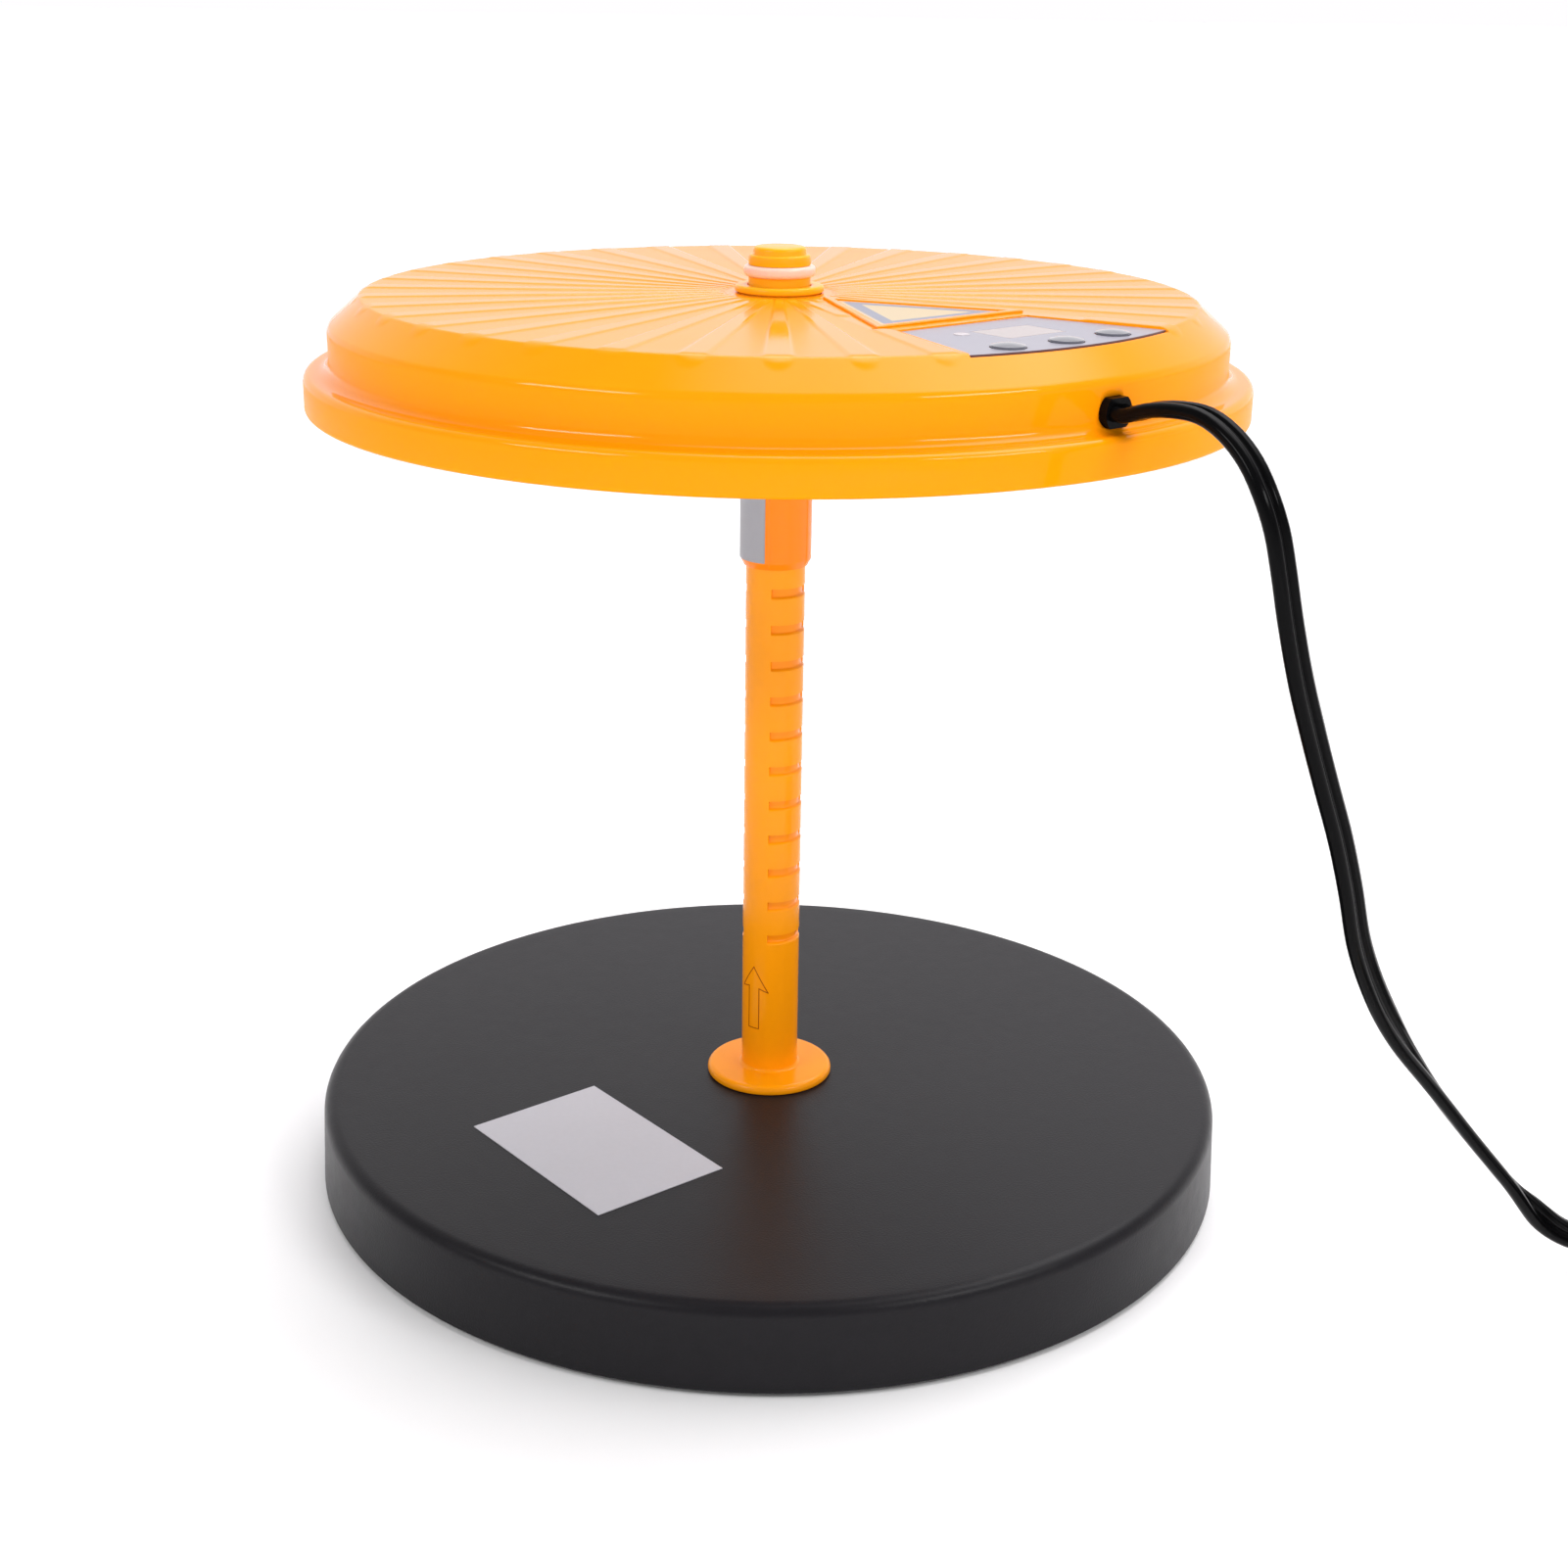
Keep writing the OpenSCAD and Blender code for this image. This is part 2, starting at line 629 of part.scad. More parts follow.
module top_cover() color(orange) difference() {
    union() {
        difference() {
            rotate_extrude($fn = 128) cover_outline();
            rotate_extrude($fn = 128) cover_hollow(cover_wall);
            panel_frame(recess_floor) linear_extrude(bevel_h) panel_outline(0.2, 6);
        }
        ribs();
        panel_frame(plate_top - weld) linear_extrude(triangle_rise + weld) difference() {
            triangle(0);
            triangle(triangle_border);
        }
        translate([0, 0, heat_top]) cylinder(h = plate_top - heat_top, r = hub_r);
        around_circle(plate_screw_n, plate_screw_circle) translate([0, 0, heat_top])
            cylinder(h = lip_top - cover_wall - heat_top + weld, r = standoff_r);
        panel_frame() {
            at_board_holes() translate([0, 0, board_top])
                cylinder(h = ceiling - board_top + weld, r = standoff_r);
            intersection() {
                union() {
                    at_clamp_screws() translate([0, 0, cord_under])
                        cylinder(h = plate_top - cord_under, r = standoff_r);
                    translate([-cord_w / 2, anvil_in, cord_exit_h + cord_t / 2])
                        cube([cord_w, anvil_out - anvil_in, plate_top - cord_exit_h]);
                }
                rotate_extrude($fn = 128) cover_hollow(cover_wall - weld);
            }
        }
    }
    translate([0, 0, heat_top - cut]) cylinder(h = plate_top - heat_top + 3 * cut, r = hub_bore_r);
    around_circle(plate_screw_n, plate_screw_circle)
        translate([0, 0, heat_top - cut]) cylinder(h = small_screw_l - heat_plate_t + cut, r = pilot_r);
    panel_frame() {
        at_board_holes() translate([0, 0, board_top - cut])
            cylinder(h = small_screw_l - board_t + cut, r = pilot_r);
        at_clamp_screws() translate([0, 0, cord_under - cut])
            cylinder(h = clamp_screw_l - clamp_bar.z + cut, r = pilot_r);
        translate([0, 0, ceiling - cut]) linear_extrude(cover_wall + 2 * cut) {
            at_buttons() circle(button_r + button_gap);
            window_outline(-1);
            translate(led_place) circle(led_r + seat_gap);
        }
        translate([0, cap_wall_r - 3 * cover_wall, cord_exit_h]) rotate([-90, 0, 0])
            linear_extrude(4 * cover_wall) bush_section(seat_gap);
    }
}

module heat_plate() color([0.75, 0.76, 0.78]) difference() {
    ring(lip_r - cover_wall - run_gap, hub_bore_r, heat_low, heat_top);
    around_circle(plate_screw_n, plate_screw_circle)
        translate([0, 0, heat_low - cut]) cylinder(h = heat_plate_t + 2 * cut, r = pilot_r + run_gap);
}

module plate_screws() color(steel) around_circle(plate_screw_n, plate_screw_circle)
    translate([0, 0, heat_low]) thread_screw(small_screw_l);

// The cutout and the sensor sit on the heat plate, through holes in the mat and the felt
cutout_place = [-48, 40];
sensor_place = [46, 52];
sensor_size = [10, 5, 3];

module mat_holes() {
    translate(cutout_place) circle(cutout_r + 1.2);
    translate(sensor_place) square([sensor_size.x + 4, sensor_size.y + 4], center = true);
}

module mat_outline() {
    difference() {
        circle(mat_r, $fn = 128);
        circle(mat_hole_r);
        mat_holes();
    }
}

module heating_mat() color([0.72, 0.28, 0.14]) translate([0, 0, heat_top]) linear_extrude(mat_t)
    mat_outline();

module insulation_felt() color([0.85, 0.83, 0.78]) translate([0, 0, felt_low]) linear_extrude(felt_t)
    mat_outline();

module thermal_cutout() color([0.86, 0.82, 0.72]) translate([cutout_place.x, cutout_place.y, heat_top]) {
    cylinder(h = cutout_h, r = cutout_r);
    for (x = [-1, 1]) translate([x * cutout_r / 2 - 0.4, -2, cutout_h]) cube([0.8, 4, cutout_pin]);
}

module temperature_sensor() color([0.2, 0.45, 0.3]) translate([sensor_place.x, sensor_place.y, heat_top])
    translate([-sensor_size.x / 2, -sensor_size.y / 2, 0]) cube(sensor_size);

module control_board() color([0.1, 0.42, 0.22]) panel_frame(board_low) linear_extrude(board_t) difference() {
    translate([-board_w / 2, board_mid - board_l / 2]) square([board_w, board_l]);
    at_board_holes() circle(pilot_r + run_gap);
}

// The small screws, for the plate, the board and the cord clamp
module thread_screw(length) {
    scale(small_screw) screw(length / small_screw, 1.2);
}

module board_screws() color(steel) panel_frame(board_low) at_board_holes() thread_screw(small_screw_l);

module display_module() color([0.12, 0.12, 0.13]) panel_frame(board_top)
    linear_extrude(ceiling - board_top + 0.6) window_outline(-1.6);

module tact_switches() color([0.18, 0.18, 0.2]) panel_frame(board_top) at_buttons() {
    translate([-switch_body.x / 2, -switch_body.y / 2, 0]) cube(switch_body);
    cylinder(h = switch_body.z + plunger_h, r = plunger_r);
}

module status_led() color([0.9, 0.2, 0.15]) panel_frame() translate([led_place.x, led_place.y, board_top]) {
    cylinder(h = 1, r = led_r + 0.6);
    cylinder(h = film_top - board_top - led_r, r = led_r);
    translate([0, 0, film_top - board_top - led_r]) sphere(led_r);
}

// Parts under the board: a relay, a capacitor and the mains terminals
under_board = felt_top + run_gap;
relay_size = [16, 12, board_low - under_board];
relay_place = [14, board_mid - 6];
capacitor_r = 6;
capacitor_place = [-18, board_mid - 6];

module relay() color([0.15, 0.3, 0.6]) panel_frame(under_board)
    translate([relay_place.x - relay_size.x / 2, relay_place.y - relay_size.y / 2, 0]) cube(relay_size);

module capacitor() color([0.14, 0.16, 0.3]) panel_frame(under_board)
    translate(capacitor_place) cylinder(h = board_low - under_board, r = capacitor_r);

module terminal_block() color([0.2, 0.5, 0.3]) panel_frame() difference() {
    translate([-terminal_size.x / 2, terminal_place - terminal_size.y / 2, board_low - terminal_size.z])
        cube(terminal_size);
    for (x = [-1, 1]) translate([x * cord_w / 4, terminal_place, cord_exit_h]) rotate([-90, 0, 0])
        cylinder(h = terminal_size.y, r = cord_t / 2 - 0.5);
}

// Closed tube of triangles along a path. Each ring of the section is set by its wide direction.
function tangent(path, i) = unit(path[min(i + 1, len(path) - 1)] - path[max(i - 1, 0)]);
function square_to(v, t) = unit(v - t * (v * t));
function tube_points(path, wides, section) = [for (i = [0:len(path) - 1])
    let (t = tangent(path, i), w = square_to(wides[i], t), n = cross(t, w))
    each [for (s = section) path[i] + w * s.x + n * s.y]];
function tube_faces(rings, sides) = concat(
    [for (k = [1:sides - 2]) [0, k, k + 1]],
    [for (i = [0:rings - 2], k = [0:sides - 1])
        let (a = i * sides + k, b = i * sides + (k + 1) % sides)
        each [[a, a + sides, b], [b, a + sides, b + sides]]],
    [for (k = [1:sides - 2]) let (last = (rings - 1) * sides) [last, last + k + 1, last + k]]);

module tube(path, wides, section) {
    polyhedron(points = tube_points(path, wides, section), faces = tube_faces(len(path), len(section)));
}

module wire(path, r) {
    up = [for (p = path) [0.3, 0.9, 0.2]];
    tube(path, up, [for (k = [0:5]) r * [cos(60 * k), sin(60 * k)]]);
}

// Inner wires lie on the felt, from the cutout to the relay and from the sensor up to the board
wire_r = 0.9;
lead_z = felt_top + wire_r + seat_gap;
wire_apart = 3;
cutout_pin = 5;

module heater_leads() color([0.75, 0.12, 0.1]) for (side = [-1, 1]) let (
    x = side * cutout_r / 2 + cutout_place.x,
    top = heat_top + cutout_h + cutout_pin + wire_r,
    end_x = relay_place.x - side * wire_apart,
    end_y = relay_place.y - relay_size.y / 2)
    wire([[x, cutout_place.y, top], [x, cutout_place.y - 4, top], [x + 3, cutout_place.y - 12, lead_z + 2],
        [x + 8, 18, lead_z], [x + 14, 2, lead_z], [x + 24, -16, lead_z], [x + 40, -29, lead_z],
        [x + 54, -36, lead_z], panel_point(end_x, end_y - 8, lead_z), panel_point(end_x, end_y, lead_z)],
        wire_r);

sensor_wire_r = 0.7;
sensor_end = [-9, board_mid - board_l / 2 + 6];

module sensor_lead() color([0.9, 0.9, 0.88]) wire([
    [sensor_place.x, sensor_place.y, heat_top + sensor_size.z + sensor_wire_r],
    [sensor_place.x + 1, sensor_place.y - 6, lead_z + 1], [sensor_place.x + 4, sensor_place.y - 20, lead_z],
    [sensor_place.x + 7, sensor_place.y - 40, lead_z], [sensor_place.x + 8, sensor_place.y - 58, lead_z],
    [sensor_place.x + 8.5, sensor_place.y - 76, lead_z], panel_point(sensor_end.x, sensor_end.y - 7, lead_z),
    panel_point(sensor_end.x, sensor_end.y - 1.5, lead_z + 1.5),
    panel_point(sensor_end.x, sensor_end.y, lead_z + 4),
    panel_point(sensor_end.x, sensor_end.y, board_low)], sensor_wire_r);

module control_panel() color(label_white) panel_frame(recess_floor) linear_extrude(panel_t) difference() {
    panel_outline(0, 0);
    at_buttons() circle(button_r + button_gap);
    window_outline(0);
    translate(led_place) circle(led_r + seat_gap);
}

module display_window() color([0.95, 0.85, 0.7]) panel_frame(recess_floor) linear_extrude(panel_t)
    window_outline(-0.15);

// A button is a domed cap with a retaining flange under the cover and a stem over its switch
module button() {
    dome_h = button_h - 0.5;
    dome_r = (button_r * button_r + dome_h * dome_h) / (2 * dome_h);
    stem_low = board_top + switch_body.z + plunger_h + button_travel + 0.15;
    intersection() {
        translate([0, 0, stem_low]) cylinder(h = film_top + button_h - stem_low, r = button_r);
        translate([0, 0, film_top + button_h - dome_r]) sphere(dome_r, $fn = 128);
        translate([0, 0, ceiling - run_gap - button_flange_t / 2]) cylinder(h = 10, r = button_r);
    }
    translate([0, 0, ceiling - run_gap - button_flange_t]) cylinder(h = button_flange_t, r = button_flange_r);
    translate([0, 0, stem_low]) cylinder(h = ceiling - run_gap - stem_low, r = button_stem_r);
}

module button_at(i) {
    color([0.62, 0.63, 0.67]) panel_frame() rotate(i * button_step) translate([0, button_place, 0]) button();
}
module left_button() button_at(-1);
module middle_button() button_at(0);
module right_button() button_at(1);

module triangle_label() color([0.9, 0.86, 0.72]) panel_frame(plate_top) linear_extrude(label_t)
    triangle(triangle_border + 0.3);

// Section of the flat cord: two round cores side by side
module cord_section(gap) {
    core_r = cord_t / 2 + gap;
    apart = cord_w / 2 - cord_t / 2;
    for (x = [-1, 1]) translate([x * apart, 0]) circle(core_r);
    square([2 * apart, 0.75 * cord_t + 2 * gap], center = true);
}

// Bush's outline: a circle with a flat above and below, so that it cannot turn in the wall
module bush_section(gap) intersection() {
    circle(bush_r + gap);
    square([2 * bush_r + 4 * gap, bush_flats + 2 * gap], center = true);
}

module cord_bush() color(cord_black) panel_frame(cord_exit_h) translate([0, bush_face, 0]) rotate([90, 0, 0])
    difference() {
        union() {
            linear_extrude(bush_out + 2 * cover_wall) bush_section(0);
            translate([0, 0, bush_out + cover_wall + 0.3]) cylinder(h = bush_flange_t, r = bush_flange_r);
        }
        translate([0, 0, -cut]) linear_extrude(bush_out + 4 * cover_wall) cord_section(seat_gap);
    }

module cord_inner() color(cord_black) panel_frame(cord_exit_h)
    translate([0, bush_face, 0]) rotate([90, 0, 0])
        linear_extrude(bush_face - terminal_place - terminal_size.y / 2) cord_section(0);

module cord_clamp() color([0.9, 0.9, 0.88]) panel_frame() difference() {
    translate([-clamp_bar.x / 2, clamp_place - clamp_bar.y / 2, cord_under - clamp_bar.z]) cube(clamp_bar);
    at_clamp_screws() translate([0, 0, cord_under - clamp_bar.z - cut])
        cylinder(h = clamp_bar.z + 2 * cut, r = pilot_r + run_gap);
}

module clamp_screws() color(steel) panel_frame(cord_under - clamp_bar.z) at_clamp_screws()
    thread_screw(clamp_screw_l);

module lock_collar() color(orange) difference() {
    rotate_extrude() rounded_outline([[collar_bore_r, collar_foot],
        [collar_bore_r + collar_foot_wall, collar_foot], [collar_r, collar_foot + collar_taper_h],
        [collar_r, retainer_low - seat_gap], [groove_r, retainer_low - seat_gap],
        [groove_r, retainer_top + seat_gap], [collar_r, retainer_top + seat_gap], [collar_r, hub_low],
        [collar_hub_r, hub_low], [collar_hub_r, flange_low], [collar_flange_r, flange_low],
        [collar_flange_r, collar_top], [collar_bore_r, collar_top]],
        [0, 0, collar_edge_r, 0, 0, 0, 0, 0, 0, 0, 0, 0.5, 0]);
    sector(grip_mid, grip_sector) translate([collar_r - grip_depth, collar_foot - cut])
        square([grip_depth + cut, retainer_low - 2 * cut - collar_foot + cut]);
    for (side = [0, 180]) sector(notch_mid + side, tongue_sector + 2)
        translate([post_r, tongue_low - seat_gap])
            square([tongue_out_r + seat_gap - post_r, tongue_h + 2 * seat_gap]);
}

module lock_tongues() color(steel) for (side = [0, 180]) sector(notch_mid + side, tongue_sector)
    translate([tongue_in_r, tongue_low]) square([tongue_out_r - tongue_in_r, tongue_h]);

module retaining_ring() color(steel) difference() {
    ring(retainer_r, groove_r + seat_gap, retainer_low, retainer_top);
    translate([-1.5, 0, retainer_low - cut]) cube([3, retainer_r + cut, retainer_t + 2 * cut]);
}

// The collar's label ends just beside the grip recess
label_sector = 80;
label_mid = grip_mid - grip_sector / 2 - 6 - label_sector / 2;
label_low = collar_foot + collar_taper_h + 0.2;
label_h = retainer_low - 5.6 - label_low;
module collar_label() color(label_white) sector(label_mid, label_sector)
    translate([collar_r, label_low]) square([label_t, label_h]);

// Route of the cord's free stretch, chosen by eye: out of the bush, over the lip, down and away to the floor
cord_exit = bush_face * heading(panel_dir) + [0, 0, cord_exit_h];
coil_centre = [276, -86];
coil_in = 115;
coil_lift = tie_t + 0.5;
layer_step = cord_w + 0.6;
low_z = coil_lift + cord_w / 2;
coil_in_dir = [sin(coil_in), -cos(coil_in), 0];
coil_start = [coil_centre.x, coil_centre.y, low_z] + coil_r * [cos(coil_in), sin(coil_in), 0];
cord_route = concat([cord_exit, cord_exit + 3 * heading(panel_dir)],
    [[82.2, -95.9, 234.4], [86.8, -101.2, 235.5], [92, -107.3, 235.3], [96.4, -113.4, 232.6],
    [100.3, -118.8, 227.7], [103.1, -122.9, 221.7], [105.6, -125.4, 214.5], [107.7, -126.3, 205.5],
    [109.8, -126.1, 196], [113.6, -124.5, 182], [118.4, -121.5, 168],
    [123.1, -119, 155], [127.9, -116.5, 142], [132.2, -113.5, 128.5], [136.8, -109, 113], [143.5, -103, 98],
    [152.2, -96, 83], [162.4, -89, 68.5], [174.1, -82, 53], [187, -75.5, 37], [198.2, -70, 23.5],
    [209.5, -66, 13], [221.2, -61.8, 7], [233.1, -57, 5]],
    [coil_start - 2 * cord_w * coil_in_dir, coil_start - cord_w * coil_in_dir]);

// The cord's wide side faces outwards while it hangs, twists edge-on lower down and is upright at the coil
twist_top = 95;
twist_drop = 40;
upright_top = 33;
upright_drop = 20;
hang_side = [cos(panel_dir), sin(panel_dir), 0];
edge_on_side = [-0.29, 0.94, 0.19];
cord_wides = [for (p = cord_route)
    let (t = smooth((twist_top - p.z) / twist_drop), u = smooth((upright_top - p.z) / upright_drop))
    (1 - t) * hang_side + t * (1 - u) * edge_on_side + u * [0, 0, 1]];

// Twelve-sided section of the cord, waisted between its two cores, and a six-sided one for the coil
core_r = cord_t / 2;
core_x = cord_w / 2 - core_r;
waist = 0.75 * core_r;
twin_section = concat([[0, waist]], [for (a = [90:-45:-90]) [core_x, 0] + core_r * [cos(a), sin(a)]],
    [[0, -waist]], [for (a = [-90:-45:-270]) [-core_x, 0] + core_r * [cos(a), sin(a)]]);
flat_section = [[-0.55 * cord_w / 2, core_r], [0.55 * cord_w / 2, core_r], [cord_w / 2, 0],
    [0.55 * cord_w / 2, -core_r], [-0.55 * cord_w / 2, -core_r], [-cord_w / 2, 0]];

module cord_lead() color(cord_black) tube(cord_route, cord_wides, twin_section);

// The coil winds inwards on the floor, climbs half a turn where it reverses, and winds out on top
loop_rings = 24;
coil_pitch = cord_t + coil_gap;
all_turns = 2 * coil_turns + 0.5;
function coil_radius(t) = coil_r - coil_pitch * min(t, all_turns - t);
function coil_height(t) = low_z + layer_step * smooth((t - coil_turns) / 0.5);
function coil_point(t) = let (a = coil_in - 360 * t)
    [coil_centre.x + coil_radius(t) * cos(a), coil_centre.y + coil_radius(t) * sin(a), coil_height(t)];
coil_out = coil_in - 360 * all_turns;
coil_out_dir = [sin(coil_out), -cos(coil_out), 0];
coil_end = coil_point(all_turns);
coil_path = concat([coil_start - cord_w * coil_in_dir],
    [for (i = [0:all_turns * loop_rings]) coil_point(i / loop_rings)],
    [coil_end + 0.6 * tail_l * coil_out_dir, coil_end + tail_l * coil_out_dir]);
coil_wides = [for (p = coil_path) [0, 0, 1]];
coil_points = tube_points(coil_path, coil_wides, flat_section);
coil_least_gap = min([for (i = [0:all_turns * loop_rings - loop_rings + 1], loops = [1:4], step = [-1:1])
    let (j = i + loops * loop_rings + step) if (j < len(coil_path))
    min([for (k = [0:5], m = [0:5]) norm(coil_points[6 * i + k] - coil_points[6 * j + m])])]);
echo(coil_least_gap = coil_least_gap);

module cord_coil() color(cord_black) tube(coil_path, coil_wides, flat_section);

// The tie goes round the bundle of turns on the coil's left side, between two rings of the coil's mesh
tie_dir = coil_in + 6.5 * 360 / loop_rings;
tie_room = 0.5;
tie_side_room = 0.8;
bundle_out = coil_r - coil_pitch * 0.75 + core_r;
bundle_in = coil_r - coil_pitch * (coil_turns - 0.25) - core_r;
bundle_top = low_z + layer_step + cord_w / 2;
module tie_outline(grow) {
    low = [bundle_in - tie_side_room - grow, coil_lift - tie_room + 0.1 - grow];
    high = [bundle_out + tie_side_room + grow, bundle_top + tie_room + grow];
    rounded_outline([low, [high.x, low.y], high, [low.x, high.y]], [for (i = [0:3]) 0.4 + grow]);
}
module cord_tie() color([0.12, 0.12, 0.13]) translate([coil_centre.x, coil_centre.y, 0]) rotate(tie_dir)
    translate([0, tie_w / 2, 0]) rotate([90, 0, 0]) linear_extrude(tie_w) difference() {
        tie_outline(tie_t - 0.1);
        tie_outline(0);
    }

// The two-blade plug lies on its side at the end of the tail
plug_start = coil_end + tail_l * coil_out_dir;
plug_half_h = plug_start.z;
plug_corner = 5;
blade_apart = 12.7;
blade_size = [17, 6.35, 1.5];
module plug_frame() {
    translate(plug_start) rotate(atan2(coil_out_dir.y, coil_out_dir.x)) children();
}

module plug_body() color(cord_black) plug_frame() {
    rotate([0, 90, 0]) cylinder(h = relief_l + weld, r1 = cord_w / 2 + 1, r2 = plug_t / 2 - 1.5);
    translate([relief_l, 0, 0]) rotate([90, 0, 90]) linear_extrude(plug_l) rounded_outline(
        [for (p = [[-1, -1], [1, -1], [1, 1], [-1, 1]]) [p.x * plug_t / 2, p.y * plug_half_h]],
        [for (i = [0:3]) plug_corner]);
}

module plug_blades() color([0.8, 0.72, 0.45]) plug_frame() for (side = [-1, 1]) difference() {
    translate([relief_l + plug_l, -blade_size.y / 2, side * blade_apart / 2 - blade_size.z / 2])
        cube(blade_size);
    translate([relief_l + plug_l + blade_size.x - 4.5, 0, side * blade_apart / 2 - cut])
        cylinder(h = 2 * cut, r = 1.6);
}

base_shell();
base_cover();
base_screws();
rubber_feet();
counterweight();
rating_label();
post();
post_screw();
post_washer();
stop_ring();
post_cap();
top_cover();
heat_plate();
plate_screws();
heating_mat();
insulation_felt();
thermal_cutout();
temperature_sensor();
control_board();
board_screws();
display_module();
tact_switches();
status_led();
relay();
capacitor();
terminal_block();
heater_leads();
sensor_lead();
control_panel();
display_window();
left_button();
middle_button();
right_button();
triangle_label();
cord_bush();
cord_inner();
cord_clamp();
clamp_screws();
lock_collar();
lock_tongues();
retaining_ring();
collar_label();
cord_lead();
cord_coil();
cord_tie();
plug_body();
plug_blades();
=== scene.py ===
import math

import bmesh
import bpy
import numpy as np
from mathutils import Matrix, Vector


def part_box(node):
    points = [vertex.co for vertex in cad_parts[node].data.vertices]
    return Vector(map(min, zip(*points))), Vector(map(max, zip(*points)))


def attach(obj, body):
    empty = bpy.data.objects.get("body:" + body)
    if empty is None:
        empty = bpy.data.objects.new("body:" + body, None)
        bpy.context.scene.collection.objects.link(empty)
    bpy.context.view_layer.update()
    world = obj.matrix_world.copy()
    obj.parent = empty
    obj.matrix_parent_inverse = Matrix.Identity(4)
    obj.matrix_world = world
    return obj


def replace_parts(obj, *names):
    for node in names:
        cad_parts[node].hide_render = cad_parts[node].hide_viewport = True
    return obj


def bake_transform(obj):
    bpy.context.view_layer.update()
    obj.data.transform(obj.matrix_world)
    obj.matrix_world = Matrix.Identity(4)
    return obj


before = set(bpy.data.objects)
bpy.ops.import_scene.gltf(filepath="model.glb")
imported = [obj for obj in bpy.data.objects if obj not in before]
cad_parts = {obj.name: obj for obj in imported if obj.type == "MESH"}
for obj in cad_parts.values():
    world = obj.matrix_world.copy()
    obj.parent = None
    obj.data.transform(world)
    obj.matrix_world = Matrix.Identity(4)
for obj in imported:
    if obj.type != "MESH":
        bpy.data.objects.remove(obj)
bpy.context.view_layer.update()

# Base shell: one black ABS moulding with a fine spark-eroded grain, open below. The post is screwed into
# the socket in its middle, and the bottom cover closes it.
MM = 0.001


class Shade:
    """One socket of a material's nodes, so that shader maths reads as sums."""

    def __init__(self, tree, socket):
        self.tree = tree
        self.socket = socket

    def node(self, kind, settings=None, inputs=None, output=0):
        """A node of any kind: settings first, then values or links for its inputs."""
        made = self.tree.nodes.new(kind)
        for name, value in (settings or {}).items():
            setattr(made, name, value)
        for name, value in (inputs or {}).items():
            if isinstance(value, Shade):
                self.tree.links.new(value.socket, made.inputs[name])
            else:
                made.inputs[name].default_value = value
        return Shade(self.tree, made.outputs[output])

    def maths(self, operation, first, second=0.0):
        return self.node("ShaderNodeMath", {"operation": operation}, {0: first, 1: second})

    def __add__(self, other):
        return self.maths("ADD", self, other)

    def __radd__(self, other):
        return self.maths("ADD", other, self)

    def __sub__(self, other):
        return self.maths("SUBTRACT", self, other)

    def __rsub__(self, other):
        return self.maths("SUBTRACT", other, self)

    def __mul__(self, other):
        return self.maths("MULTIPLY", self, other)

    def __rmul__(self, other):
        return self.maths("MULTIPLY", other, self)

    def __truediv__(self, other):
        return self.maths("DIVIDE", self, other)

    def __rtruediv__(self, other):
        return self.maths("DIVIDE", other, self)

    def noise(self, scale, detail=2.0):
        return self.node("ShaderNodeTexNoise", {}, {"Vector": self, "Scale": scale, "Detail": detail}, "Fac")

    def part(self, axis):
        return self.node("ShaderNodeSeparateXYZ", {}, {"Vector": self}, axis)

    def step(self, low, high):
        """0 below low, 1 above high, smooth between them."""
        return self.node("ShaderNodeMapRange", {"interpolation_type": "SMOOTHSTEP"},
                         {"Value": self, "From Min": low, "From Max": high}, "Result")

    def mix(self, first, second):
        """Colour that goes from first to second as this factor goes from 0 to 1."""
        return self.node("ShaderNodeMix", {"data_type": "RGBA"}, {0: self, 6: first, 7: second}, 2)


def paint(name, colour, roughness, tint, scale, grain, **constants):
    """Finish with cloudy colour, uneven gloss and a fine bump.

    Colour and roughness may each be a function of the place.
    """
    cloud_size, uneven_gloss, grain_depth = 8, 0.3, 0.1 * MM
    material = bpy.data.materials.new(name)
    material.use_nodes = True
    tree = material.node_tree
    shader = tree.nodes["Principled BSDF"]
    place = Shade(tree, tree.nodes.new("ShaderNodeTexCoord").outputs["Object"])
    cloud = place.noise(scale / cloud_size, 3.0)
    fine = place.noise(scale)
    if callable(colour):
        colour = colour(place)
    if callable(roughness):
        roughness = roughness(place)
    strength = 1 + tint * (cloud - 0.5) + tint * (fine - 0.5)
    tinted = place.node("ShaderNodeVectorMath", {"operation": "SCALE"}, {0: colour, "Scale": strength})
    gloss = roughness + uneven_gloss * roughness * (cloud - 0.5)
    bump = place.node("ShaderNodeBump", {},
                      {"Height": fine, "Strength": grain, "Distance": grain_depth}, "Normal")
    for socket, value in (("Base Color", tinted), ("Roughness", gloss), ("Normal", bump)):
        tree.links.new(value.socket, shader.inputs[socket])
    for socket, value in constants.items():
        shader.inputs[socket.replace("_", " ")].default_value = value
    return material


def piece(name, points, faces, material, sharp=40):
    """Mesh in the row frame from points in mm, with smooth faces and crisp edges."""
    mesh = bpy.data.meshes.new(name)
    mesh.from_pydata([tuple(p) for p in np.array(points) * MM], [], faces)
    work = bmesh.new()
    work.from_mesh(mesh)
    bmesh.ops.remove_doubles(work, verts=work.verts, dist=1e-6)
    bmesh.ops.recalc_face_normals(work, faces=work.faces)
    work.to_mesh(mesh)
    work.free()
    mesh.materials.append(material)
    mesh.shade_smooth()
    mesh.set_sharp_from_angle(angle=math.radians(sharp))
    made = bpy.data.objects.new(name, mesh)
    bpy.context.scene.collection.objects.link(made)
    return made


